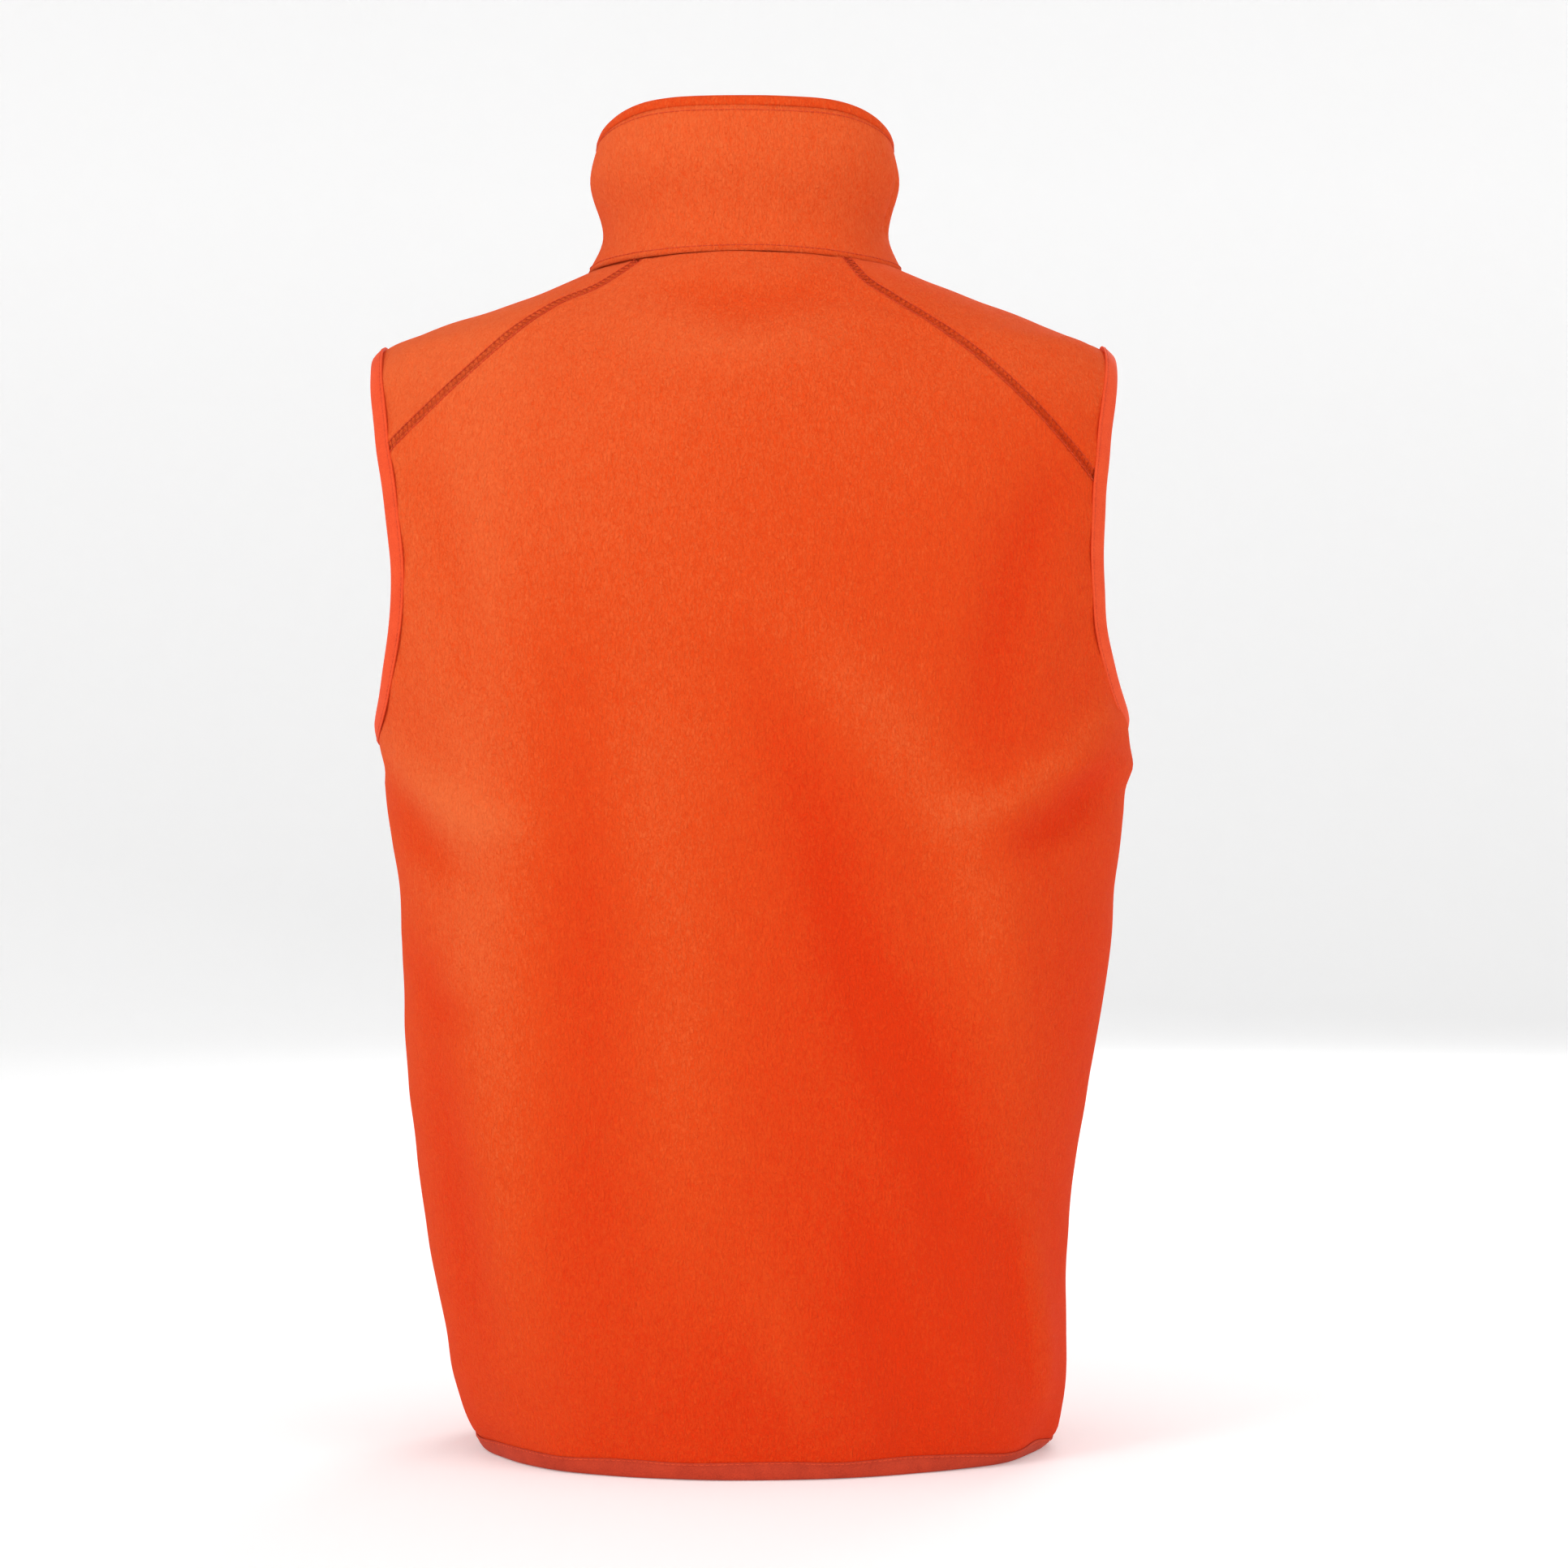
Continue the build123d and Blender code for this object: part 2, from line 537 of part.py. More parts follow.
def pocket_bag(side, opening):
    """A flat bag against the inside of the front panel, open towards its zip."""
    sign = 1 if side == "left" else -1
    bag = POCKET_BAG
    face = -CLOTH - 0.15
    outer = body.shell(face, face - bag.depth, 60, 320, ZIP_GAP)
    hollow = body.shell(face - bag.wall, face - bag.depth + bag.wall, 60, 320, ZIP_GAP)
    span = sorted((sign * bag.inner, sign * bag.outer))
    region = slab(*span, -FAR, SIDE_SEAM_Y, bag.low, bag.high)
    inset = slab(span[0] + bag.seam, span[1] - bag.seam, -FAR, SIDE_SEAM_Y, bag.low + bag.seam, bag.high - bag.seam)
    save(f"pocket_{side}_bag", one_solid((outer & region) - (hollow & inset) - opening))


cloth_panels()
bindings()
collar_pieces()
neck_trims()
main_zip()
for pocket_side in ("left", "right"):
    pocket(pocket_side)
save("care_label", slab(171.6, 172.1, SIDE_SEAM_Y, SIDE_SEAM_Y + 34, 112, 160))
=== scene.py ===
import bpy
import bmesh
import math
import numpy as np
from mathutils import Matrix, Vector, noise
from mathutils.kdtree import KDTree


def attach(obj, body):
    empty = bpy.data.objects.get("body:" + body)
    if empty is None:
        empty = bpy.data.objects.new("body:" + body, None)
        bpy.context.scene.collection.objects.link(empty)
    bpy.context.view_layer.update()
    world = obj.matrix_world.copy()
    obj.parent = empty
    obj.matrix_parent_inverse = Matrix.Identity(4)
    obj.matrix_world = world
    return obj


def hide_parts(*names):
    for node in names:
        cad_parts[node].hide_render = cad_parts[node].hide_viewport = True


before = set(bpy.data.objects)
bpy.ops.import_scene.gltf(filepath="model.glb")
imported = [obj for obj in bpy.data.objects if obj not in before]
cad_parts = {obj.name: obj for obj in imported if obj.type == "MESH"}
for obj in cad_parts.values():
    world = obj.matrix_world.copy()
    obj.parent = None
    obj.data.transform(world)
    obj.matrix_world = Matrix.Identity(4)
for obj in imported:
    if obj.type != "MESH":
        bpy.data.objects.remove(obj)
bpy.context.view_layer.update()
MM = 0.001

# ---- the cloth: sizes in millimetres -------------------------------------------------------------
CLOTH = 2.2
HEM_BINDING = 9.0
SIDE_SEAM_Y = -12.0
ZIP_GAP = 6.5
COLLAR_PLY = 2.1
COLLAR_PLY_GAP = 0.2
COLLAR_EDGE = 6.0
FRONT_HEM_Y, FRONT_TOP_Y, FRONT_TOP_Z = -135.0, -67.0, 690.0
GRID = 3.0        # spacing of the cloth's mesh

# Closed girth lines: heights at front, sides and back, half widths left and right, depth to the back,
# squareness.
BODY_LEVELS = [
    (-14, -14, -14, 147, 155, 129, 2.1),
    (0, 0, 0, 152, 161, 131, 2.1),
    (40, 40, 40, 165, 173, 135, 2.22),
    (150, 150, 150, 182, 184.5, 131, 2.3),
    (285, 285, 285, 194, 199, 127, 2.3),
    (392, 400, 400, 208.5, 209.5, 131, 2.25),
    (486, 500, 505, 224, 224, 127, 2.2),
    (545, 575, 590, 222, 222, 109, 2.2),
    (568, 606, 624, 205, 205, 93, 2.2),
    (574, 618, 633, 179, 179, 87, 2.2),
    (580, 633, 644, 133, 142, 80, 2.2),
    (590, 652, 657, 88, 89, 71, 2.2),
]
COLLAR_LEVELS = [
    (591, 653, 658, 88, 89, 71.5, 2.2),
    (606, 671, 676, 80, 81, 67, 2.15),
    (650, 706, 713, 86.5, 86.5, 71, 2.2),
    (690, 729, 745, 80.5, 82, 65, 2.3),
]
# Armhole edges (half width, height) from the shoulder down, and raglan seams from the neck out.
ARMHOLE = {
    "left": [
        (209, 660), (206, 592), (201, 556), (193, 502), (191, 474), (194, 447), (200, 420), (210, 396),
        (240, 340),
    ],
    "right": [
        (206, 660), (205, 590), (200, 556), (195.5, 502), (195.5, 474), (198, 447), (205, 420), (213, 397),
        (240, 340),
    ],
}
BACK_RAGLAN = {
    "left": [
        (30, 676), (46, 664), (61, 652), (79, 639), (103, 627), (119, 616), (143, 596), (165, 577),
        (190, 553), (230, 510),
    ],
    "right": [
        (30, 690), (46, 667), (57, 653), (66, 642), (79, 633), (101, 620), (123, 604), (163, 566),
        (186, 540), (230, 488),
    ],
}
SIGN = {"left": 1, "right": -1}
FRONT_SEAM = [(26, 634), (50, 613), (80, 590), (112, 564), (150, 531), (190, 490), (230, 445)]
FRONT_RAGLAN = {side: FRONT_SEAM for side in SIGN}


# ---- shaping functions ---------------------------------------------------------------------------
def slopes(rows, knots):
    """Three-point slopes of the rows at their knots."""
    step = np.diff(knots)[:, None]
    rise = np.diff(rows, axis=0) / step
    middle = (rise[:-1] * step[1:] + rise[1:] * step[:-1]) / (step[1:] + step[:-1])
    return np.vstack([rise[:1], middle, rise[-1:]])


def hermite(rows, knots, t):
    """A smooth curve through the rows at the knots, for every value in t."""
    rows, knots, t = np.asarray(rows, float), np.asarray(knots, float), np.asarray(t, float)
    m = slopes(rows, knots)
    i = np.clip(np.searchsorted(knots, t, side="right") - 1, 0, len(knots) - 2)
    span = (knots[i + 1] - knots[i])[..., None]
    s = ((t - knots[i])[..., None]) / span
    return (
        (2 * s**3 - 3 * s**2 + 1) * rows[i]
        + (s**3 - 2 * s**2 + s) * span * m[i]
        + (3 * s**2 - 2 * s**3) * rows[i + 1]
        + (s**3 - s**2) * span * m[i + 1]
    )


def line_value(points, at, key=0):
    """A curve through (a, b) points read as b at a, or as a at b when key is 1."""
    table = sorted((p[key], p[1 - key]) for p in points)
    knots = [k for k, _ in table]
    return hermite([[v] for _, v in table], knots, np.clip(at, knots[0], knots[-1]))[..., 0]


def unit(v):
    """Vectors of length 1, along the last axis."""
    return np.asarray(v) / np.linalg.norm(v, axis=-1, keepdims=True)


def smooth(low, high, x):
    s = np.clip((x - low) / (high - low), 0, 1)
    return s * s * (3 - 2 * s)


def front_y(z):
    return FRONT_HEM_Y + (FRONT_TOP_Y - FRONT_HEM_Y) * z / FRONT_TOP_Z


class Girths:
    """The surface through closed girth lines: phi is 0 in front and 90 degrees at +X, t runs up in mm."""

    def __init__(self, levels, crown=2.0):
        self.crown = crown      # above 2, the top edge runs level over the back and drops at the sides
        self.rows = np.array(levels, float)
        self.knots = [0.0]
        for a, b in zip(levels, levels[1:]):
            self.knots.append(self.knots[-1] + math.hypot(b[1] - a[1], b[3] - a[3]))
        self.top = self.knots[-1]

    def point(self, phi, t):
        row = hermite(self.rows, self.knots, t)
        z_front, z_side, z_back, left, right, y_back, power = np.moveaxis(row, -1, 0)
        s, c = np.sin(phi), np.cos(phi)
        wide = np.where(s > 0, left, right)
        deep = np.where(c > 0, -front_y(z_front), y_back)
        r = (np.abs(s / wide) ** power + np.abs(c / deep) ** power) ** (-1 / power)
        end = np.where(c > 0, z_front, z_back)
        flatness = np.where(c > 0, 2.0, 2 + (self.crown - 2) * np.clip(t / self.top, 0, 1))
        return np.stack([r * s, -r * c, z_side + (end - z_side) * (1 - np.abs(s) ** flatness)], axis=-1)

    def normal(self, phi, t):
        along = self.point(phi + 1e-3, t) - self.point(phi - 1e-3, t)
        up = self.point(phi, t + 0.1) - self.point(phi, t - 0.1)
        return unit(np.cross(along, up))

    def phi_at(self, t, x):
        phi = np.zeros_like(t)
        for _ in range(8):
            p = self.point(phi, t)
            phi = np.arcsin(np.clip(x / np.hypot(p[..., 0], p[..., 1]), -1, 1))
        return phi

    def find(self, phi, t, wanted, axes=(0, 2)):
        """The phi and t at which two coordinates have the wanted values, from a guess."""
        phi, t = phi.astype(float).copy(), t.astype(float).copy()
        for _ in range(30):
            p = self.point(phi, t)[..., list(axes)]
            a = (self.point(phi + 1e-3, t)[..., list(axes)] - p) / 1e-3
            b = (self.point(phi, t + 0.1)[..., list(axes)] - p) / 0.1
            miss = wanted - p
            det = a[..., 0] * b[..., 1] - a[..., 1] * b[..., 0]
            det = np.where(np.abs(det) < 1e-6, 1e-6, det)
            phi += np.clip((miss[..., 0] * b[..., 1] - miss[..., 1] * b[..., 0]) / det, -0.2, 0.2)
            t += np.clip((a[..., 0] * miss[..., 1] - a[..., 1] * miss[..., 0]) / det, -40, 40)
        return phi, t


body = Girths(BODY_LEVELS)
collar = Girths(COLLAR_LEVELS, crown=6.5)
HEM_T = body.knots[1]


# ---- patches of cloth ----------------------------------------------------------------------------
def grid_faces(rows, columns, flip=False):
    """The faces between the points of a grid, turned over when flip is true."""
    index = np.arange(rows * columns).reshape(rows, columns)
    corners = [index[:-1, :-1], index[:-1, 1:], index[1:, 1:], index[1:, :-1]]
    return np.stack(corners[::-1] if flip else corners, axis=-1).reshape(-1, 4).tolist()


def flipped(faces):
    return [f[::-1] for f in faces]


def patch(girths, low, high, phi_from, phi_to, fields=()):
    """A mesh over part of the surface, kept where every field is positive: (phi, t) rows and faces."""
    rows = max(2, int((high - low) / GRID))
    t = np.linspace(low, high, rows + 1)
    start, end = (f(t) if callable(f) else np.full_like(t, f) for f in (phi_from, phi_to))
    columns = max(2, int(np.max(np.abs(end - start)) * 160 / GRID))
    u = np.linspace(0, 1, columns + 1)
    phi = start[:, None] + (end - start)[:, None] * u[None, :]
    tt = np.repeat(t[:, None], columns + 1, axis=1)
    faces = grid_faces(rows + 1, columns + 1)
    uv = np.stack([phi.ravel(), tt.ravel()], axis=-1)
    if not fields:
        return uv, faces
    data = bpy.data.meshes.new("patch")
    data.from_pydata([(a, b / 100, 0) for a, b in uv], [], faces)
    bm = bmesh.new()
    bm.from_mesh(data)
    bpy.data.meshes.remove(data)
    for field in fields:
        co = np.array([v.co[:2] for v in bm.verts])
        value = field(girths.point(co[:, 0], co[:, 1] * 100)) / 100
        for v, f in zip(bm.verts, value):
            v.co.z = f
        bmesh.ops.bisect_plane(
            bm, geom=[*bm.verts, *bm.edges, *bm.faces], dist=1e-6,
            plane_co=(0, 0, 0), plane_no=(0, 0, 1), clear_inner=True,
        )
    bm.verts.index_update()
    uv = np.array([(v.co.x, v.co.y * 100) for v in bm.verts])
    kept = [[v.index for v in f.verts] for f in bm.faces]
    bm.free()
    return uv, kept


def boundary_loop(uv, faces, on_line):
    """The ordered vertices of the rim for which on_line is true."""
    count = {}
    for f in faces:
        for a, b in zip(f, f[1:] + f[:1]):
            key = (min(a, b), max(a, b))
            count[key] = count.get(key, 0) + 1
    links = {}
    for (a, b), n in count.items():
        if n == 1 and on_line[a] and on_line[b]:
            links.setdefault(a, []).append(b)
            links.setdefault(b, []).append(a)
    start = next((v for v in links if len(links[v]) == 1), next(iter(links)))
    order, last, here = [start], None, start
    while True:
        ahead = [v for v in links[here] if v != last]
        if not ahead or ahead[0] == start:
            return order
        last, here = here, ahead[0]
        order.append(here)


def resample(points, spacing, closed=False, count=None):
    """Even steps along a line of points, of which the first three columns are a place."""
    pts = np.vstack([points, points[:1]]) if closed else np.asarray(points)
    step = np.linalg.norm(np.diff(pts[:, :3], axis=0), axis=1)
    run = np.concatenate([[0], np.cumsum(step)])
    n = count or max(2, int(round(run[-1] / spacing)))
    at = np.linspace(0, run[-1], n + 1)[: n if closed else n + 1]
    return np.stack([np.interp(at, run, pts[:, k]) for k in range(pts.shape[1])], axis=-1)


def relax(points, rounds):
    """Smooths a closed line by averaging neighbours."""
    p = points.copy()
    for _ in range(rounds):
        p = 0.5 * p + 0.25 * (np.roll(p, 1, axis=0) + np.roll(p, -1, axis=0))
    return p


OFF_SIDE = 50.0         # a field's value on the other side of the vest


# ---- seams, as lines on the body -----------------------------------------------------------------
def armhole_field(side, grow=0.0):
    """Positive on the cloth's side of the armhole edge, and zero on it."""
    def field(p):
        inside = line_value(ARMHOLE[side], p[..., 2], key=1) - grow - np.abs(p[..., 0])
        return np.where(p[..., 0] * SIGN[side] > 0, inside, OFF_SIDE)

    return field


def armhole_loop(side):
    """(phi, t) round the edge of an armhole."""
    middle = math.radians(90) if side == "left" else math.radians(270)
    field = armhole_field(side)
    uv, faces = patch(body, 330, body.top - 5, middle - 1.25, middle + 1.25, [field])
    on_line = np.abs(field(body.point(uv[:, 0], uv[:, 1]))) < 0.6
    order = boundary_loop(uv, faces, on_line)
    place = body.point(uv[order, 0], uv[order, 1])
    line = resample(np.hstack([place, uv[order]]), 0, closed=True, count=260)
    line = relax(line, 6)
    return line[:, 3], line[:, 4]


def seam_line(points, side, back):
    """(phi, t) along a seam seen from behind or in front, inside the armhole edge and below the neck."""
    x = np.linspace(points[0][0], points[-1][0], 200)
    z = line_value(points, x)
    sign = SIGN[side]
    spread = np.arcsin(np.clip(x / 210, -1, 1))
    phi = (math.pi - sign * spread) if back else sign * spread
    phi, t = body.find(phi, z, np.stack([sign * x, z], axis=-1))
    inside = (t < body.top) & (armhole_field(side)(body.point(phi, t)) > 3) & (z > 400)
    return phi[inside], t[inside]


ARMHOLE_LINES = {side: armhole_loop(side) for side in SIGN}
RAGLAN_LINES = {
    (side, back): seam_line((BACK_RAGLAN if back else FRONT_RAGLAN)[side], side, back)
    for side in SIGN
    for back in (True, False)
}


def tree(lines):
    places = np.vstack([body.point(phi, t) for phi, t in lines])
    kd = KDTree(len(places))
    for i, p in enumerate(places):
        kd.insert(p, i)
    kd.balance()
    return kd


def near(kd, p, reach=60.0):
    """Distance from each point to the closest of the tree's."""
    flat = p.reshape(-1, 3)
    return np.array([min(reach, kd.find(q)[2]) for q in flat]).reshape(p.shape[:-1])


raglan_tree = tree(list(RAGLAN_LINES.values()))
armhole_tree = tree(list(ARMHOLE_LINES.values()))


# ---- drape ---------------------------------------------------------------------------------------
# Folds: 1 on the back or -1 on the front, a line of (x, z) in mm, the half width, and the height,
# which is negative for a trough.
FOLD_HEIGHT = 1.35
FOLDS = [
    (1, [(-5, 430), (-35, 360), (-55, 280), (-82, 225), (-105, 160), (-118, 90)], 20, -3.2),
    (1, [(-30, 450), (-78, 400), (-122, 330), (-145, 220), (-152, 120)], 24, 2.6),
    (1, [(135, 600), (150, 500), (148, 380), (140, 240), (128, 110), (118, 30)], 26, 2.4),
    (1, [(168, 260), (160, 180), (150, 110), (140, 50)], 16, -3.0),
    (1, [(60, 420), (40, 300), (25, 180), (20, 60)], 30, 1.8),
    (1, [(95, 470), (85, 350), (80, 220), (84, 90)], 22, -1.6),
    (1, [(-60, 150), (-72, 90), (-88, 30), (-92, 5)], 13, -2.4),
    (1, [(-10, 120), (-20, 70), (-40, 20)], 16, 1.8),
    (1, [(-156, 135), (-160, 75), (-164, 15)], 9, 2.2),
    (1, [(-138, 140), (-143, 75), (-149, 12)], 10, -2.2),
    (1, [(-205, 415), (-178, 385), (-140, 360), (-100, 350)], 12, 3.0),
    (1, [(-200, 385), (-172, 350), (-138, 330)], 11, -3.0),
    (1, [(205, 400), (180, 372), (148, 350), (110, 345)], 12, 2.6),
    (1, [(200, 372), (178, 338), (150, 315)], 11, -2.6),
    (1, [(185, 290), (170, 250), (140, 235)], 12, -2.0),
    (1, [(-175, 545), (-150, 500), (-135, 440), (-130, 380)], 16, -2.2),
    (1, [(175, 548), (160, 505), (150, 450), (146, 400)], 14, -1.8),
    (1, [(-50, 636), (0, 626), (50, 636)], 12, -1.6),
    (1, [(-60, 612), (0, 600), (60, 612)], 14, 1.2),
    (-1, [(190, 420), (150, 380), (105, 360), (60, 352)], 15, 3.0),
    (-1, [(185, 388), (150, 345), (110, 325)], 13, -3.0),
    (-1, [(-190, 420), (-150, 382), (-110, 365), (-60, 350)], 15, 3.0),
    (-1, [(-185, 388), (-148, 348), (-108, 322)], 13, -3.0),
    (-1, [(95, 560), (80, 480), (60, 380), (50, 250), (48, 100)], 22, -2.2),
    (-1, [(-95, 560), (-84, 470), (-66, 360), (-56, 240), (-50, 90)], 22, -2.4),
    (-1, [(150, 520), (118, 440), (92, 330), (84, 200)], 24, 2.2),
    (-1, [(-150, 520), (-116, 440), (-94, 320), (-88, 190)], 24, 2.2),
]


def fold_height(p):
    """The folds' height at each place on the cloth."""
    total = np.zeros(p.shape[:-1])
    for view, line, half_width, height in FOLDS:
        facing = smooth(-10, 25, p[..., 1] * view)
        best = np.full(p.shape[:-1], 1e9)
        along = np.zeros(p.shape[:-1])
        for k, (a, b) in enumerate(zip(line, line[1:])):
            ax, az, bx, bz = *a, *b
            length2 = (bx - ax) ** 2 + (bz - az) ** 2
            s = np.clip(((p[..., 0] - ax) * (bx - ax) + (p[..., 2] - az) * (bz - az)) / length2, 0, 1)
            d = np.hypot(p[..., 0] - ax - s * (bx - ax), p[..., 2] - az - s * (bz - az))
            closer = d < best
            best = np.where(closer, d, best)
            along = np.where(closer, (k + s) / (len(line) - 1), along)
        taper = np.sqrt(np.clip(np.sin(np.pi * np.clip(along, 0.02, 0.98)), 0, 1))
        total += FOLD_HEIGHT * height * facing * taper * np.exp(-((best / half_width) ** 2))
    return total


def rough(p, size, seed):
    """Smooth noise between -1 and 1, of the given wavelength in mm."""
    flat = p.reshape(-1, 3) / size + seed
    return np.array([noise.noise(Vector(q)) for q in flat]).reshape(p.shape[:-1])


def calm(p):
    """Falls to 0 by the front zip and the pocket zips, where the cloth is sewn to a straight tape."""
    in_front = 1 - smooth(-60, -30, p[..., 1])
    zip_calm = smooth(9, 45, np.abs(p[..., 0]))
    level = smooth(60, 92, p[..., 2]) * (1 - smooth(274, 306, p[..., 2]))
    pocket_calm = 1 - level * (1 - smooth(15, 42, np.abs(np.abs(p[..., 0]) - 131)))
    return 1 - in_front * (1 - zip_calm * pocket_calm)


# How far each side stands out from the plain surface, as (height, mm), seen from behind.
SIDE_SHAPE = {
    "left": [
        (0, -7), (12, -4), (38, -3), (66, -4), (95, -2), (150, -0.5), (255, 0), (285, -2), (312, -5),
        (338, -4), (366, -3.5), (379, -5.5), (393, -4), (410, -2), (500, 0),
    ],
    "right": [
        (0, 4), (12, 7.5), (25, 6), (38, 5), (66, 1.5), (95, -1), (125, -1.5), (200, 1.5), (285, 6),
        (312, 4.5), (338, 6), (352, 6), (366, 6), (379, 9), (392, 5), (410, 3), (440, 1), (500, 0),
    ],
}


def side_shape(p):
    """The shape of the two sides, which fades out towards the front and over the back."""
    z = p[..., 2]
    left, right = (line_value(SIDE_SHAPE[side], z) for side in SIGN)
    stand = np.where(p[..., 0] > 0, left, right) * (1 - smooth(480, 520, z))
    return stand * smooth(-75, -25, p[..., 1]) * smooth(90, 150, np.abs(p[..., 0]))


def drape(p):
    """How far the cloth of the body stands out from the plain surface at p, in mm."""
    away = near(raglan_tree, p)
    hole = near(armhole_tree, p)
    away = np.where(p[..., 2] < 400, np.minimum(away, np.abs(p[..., 1] - SIDE_SEAM_Y)), away)
    seam = -0.9 * np.exp(-((away / 1.5) ** 2)) + 0.5 * np.exp(-(((away - 5) / 2.5) ** 2))
    seam = seam * smooth(2, 8, hole)
    round_hole = np.arctan2(p[..., 2] - 500, p[..., 1])
    gather = 0.8 * np.sin(round_hole * 13 + 2 * rough(p, 60, 5)) * np.exp(-(((hole - 14) / 12) ** 2))
    hem_near = np.exp(-np.maximum(p[..., 2] - HEM_BINDING, 0) / 45)
    turn = np.arctan2(p[..., 0], -p[..., 1])
    ripple = 1.7 * hem_near * np.sin(turn * 11 + 3 * rough(p, 120, 3)) * smooth(0, 12, p[..., 2])
    loose = fold_height(p) + 1.7 * rough(p, 75, 11) + 0.6 * rough(p, 26, 23)
    return (loose * smooth(2, 24, hole) + gather + ripple) * calm(p) + seam + side_shape(p)


def collar_drape(p):
    """The same for the collar."""
    in_front = 1 - smooth(-50, -20, p[..., 1])
    sewn = 1 - in_front * (1 - smooth(9, 40, np.abs(p[..., 0])))
    tall = smooth(666, 680, p[..., 2]) * (1 - smooth(710, 726, p[..., 2]))
    crease = -2.4 * np.exp(-(((p[..., 1] - 14) / 5) ** 2)) * (p[..., 0] < 0) * tall
    return (1.3 * rough(p, 48, 31) + 0.4 * rough(p, 20, 37)) * sewn + crease


def on_cloth(girths, phi, t, depth=0.0):
    """Places and outward normals on the draped cloth, a depth in mm behind its face."""
    p, n = girths.point(phi, t), girths.normal(phi, t)
    out = drape(p) if girths is body else collar_drape(p)
    return p + n * (out - depth)[..., None], n


# ---- mesh helpers --------------------------------------------------------------------------------
def add_mesh(name, verts, faces, material, ride="vest"):
    data = bpy.data.meshes.new(name)
    data.from_pydata((np.asarray(verts) * MM).tolist(), [], faces)
    data.validate()
    data.materials.append(material)
    data.polygons.foreach_set("use_smooth", [True] * len(data.polygons))
    obj = bpy.data.objects.new(name, data)
    bpy.context.collection.objects.link(obj)
    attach(obj, ride)
    return obj


def closed_sheet(outer, inner, faces):
    """Joins two skins with the same faces into one closed mesh."""
    n = len(outer)
    count = {}
    for f in faces:
        for a, b in zip(f, f[1:] + f[:1]):
            count[(a, b)] = count.get((a, b), 0) + 1
    rim = [[b, a, a + n, b + n] for (a, b) in count if (b, a) not in count]
    back = [[i + n for i in reversed(f)] for f in faces]
    return np.vstack([outer, inner]), faces + back + rim


def painted_light_map(p):
    """Painted light and shade from 0 to 1: lighter higher up, towards +X over the back, near the shoulders
    and on the crests of folds, darker in the troughs, with a little random tone.
    """
    lit_level = 0.42 + 0.0009 * (p[..., 2] - 360) + 0.0009 * p[..., 0] * smooth(-60, 60, p[..., 1])
    lit_level = lit_level + 0.10 * smooth(90, 150, np.abs(p[..., 0])) * smooth(560, 600, p[..., 2])
    return np.clip(lit_level + 0.075 * fold_height(p) + 0.07 * rough(p, 90, 51), 0, 1)


def store_painted_light(obj, tone):
    """Stores the painted light and shade tone at each point of a mesh."""
    obj.data.attributes.new("painted_tone", "FLOAT", "POINT").data.foreach_set("value", np.asarray(tone, np.float32))


def cloth_sheet(name, girths, uv, faces, material, front=0.0, thick=CLOTH):
    """A panel of cloth with two faces and a rim."""
    outer, n = on_cloth(girths, uv[:, 0], uv[:, 1], front)
    verts, faces = closed_sheet(outer, outer - n * thick, faces)
    obj = add_mesh(name, verts, faces, material)
    store_painted_light(obj, painted_light_map(verts))
    return obj


def frames_along(p, n, closed=False):
    """Directions sideways in the surface, and up from it, along a line on it."""
    if closed:
        tangent = np.roll(p, -1, axis=0) - np.roll(p, 1, axis=0)
    else:
        tangent = np.gradient(p, axis=0)
    tangent = unit(tangent)
    sideways = unit(np.cross(tangent, n))
    return sideways, np.cross(sideways, tangent)


def tube_faces(rings, around, closed=False):
    """The faces of a tube of rings, with a cap at each end unless it closes on itself."""
    faces = []
    for i in range(rings if closed else rings - 1):
        j = (i + 1) % rings
        for a in range(around):
            b = (a + 1) % around
            faces.append([i * around + a, i * around + b, j * around + b, j * around + a])
    if not closed:
        faces += [list(range(around))[::-1], [(rings - 1) * around + a for a in range(around)]]
    return faces


def sweep(name, p, sideways, up, profile, material, closed, ride="vest"):
    """Carries a closed profile of (sideways, up) points along a line."""
    prof = np.array(profile, float)
    verts = p[:, None, :] + sideways[:, None, :] * prof[None, :, :1] + up[:, None, :] * prof[None, :, 1:]
    return add_mesh(name, verts.reshape(-1, 3), tube_faces(len(p), len(profile), closed), material, ride)


def tube_mesh(p, radius, sides=6):
    """Verts and faces of a round tube along an open line."""
    tangent = unit(np.gradient(p, axis=0))
    side = unit(np.cross(tangent, [0.31, 0.52, 0.79]))
    up = np.cross(side, tangent)
    a = np.linspace(0, 2 * np.pi, sides, endpoint=False)
    ring = side[:, None] * np.cos(a)[None, :, None] + up[:, None] * np.sin(a)[None, :, None]
    return (p[:, None] + radius * ring).reshape(-1, 3), tube_faces(len(p), sides)


def merged(parts):
    """Several (verts, faces) as one."""
    verts, faces, base = [], [], 0
    for v, f in parts:
        verts.append(v)
        faces += [[i + base for i in face] for face in f]
        base += len(v)
    return np.vstack(verts), faces


STITCH = 3.1        # pitch of the stitches
THREAD = 0.27       # radius of the thread


def even_line(p, n, spacing=0.0, closed=False, count=None):
    """A line of places and unit normals, at even steps."""
    line = resample(np.hstack([p, n]), spacing, closed, count)
    return line[:, :3], unit(line[:, 3:])


def stitches(name, rows, material, length=2.5, radius=THREAD, sink=0.05):
    """Rows of short raised stitches. A row is (places, normals) along a line on the cloth."""
    parts = []
    s = np.linspace(-1, 1, 5)
    for row in rows:
        place, normal = even_line(*row, STITCH)
        for c, t, u in zip(place, unit(np.gradient(place, axis=0)), normal):
            arch = c + t * (s * length / 2)[:, None] + u * ((1 - s**2) * 0.35 - sink)[:, None]
            parts.append(tube_mesh(arch, radius, 5))
    return add_mesh(name, *merged(parts), material)


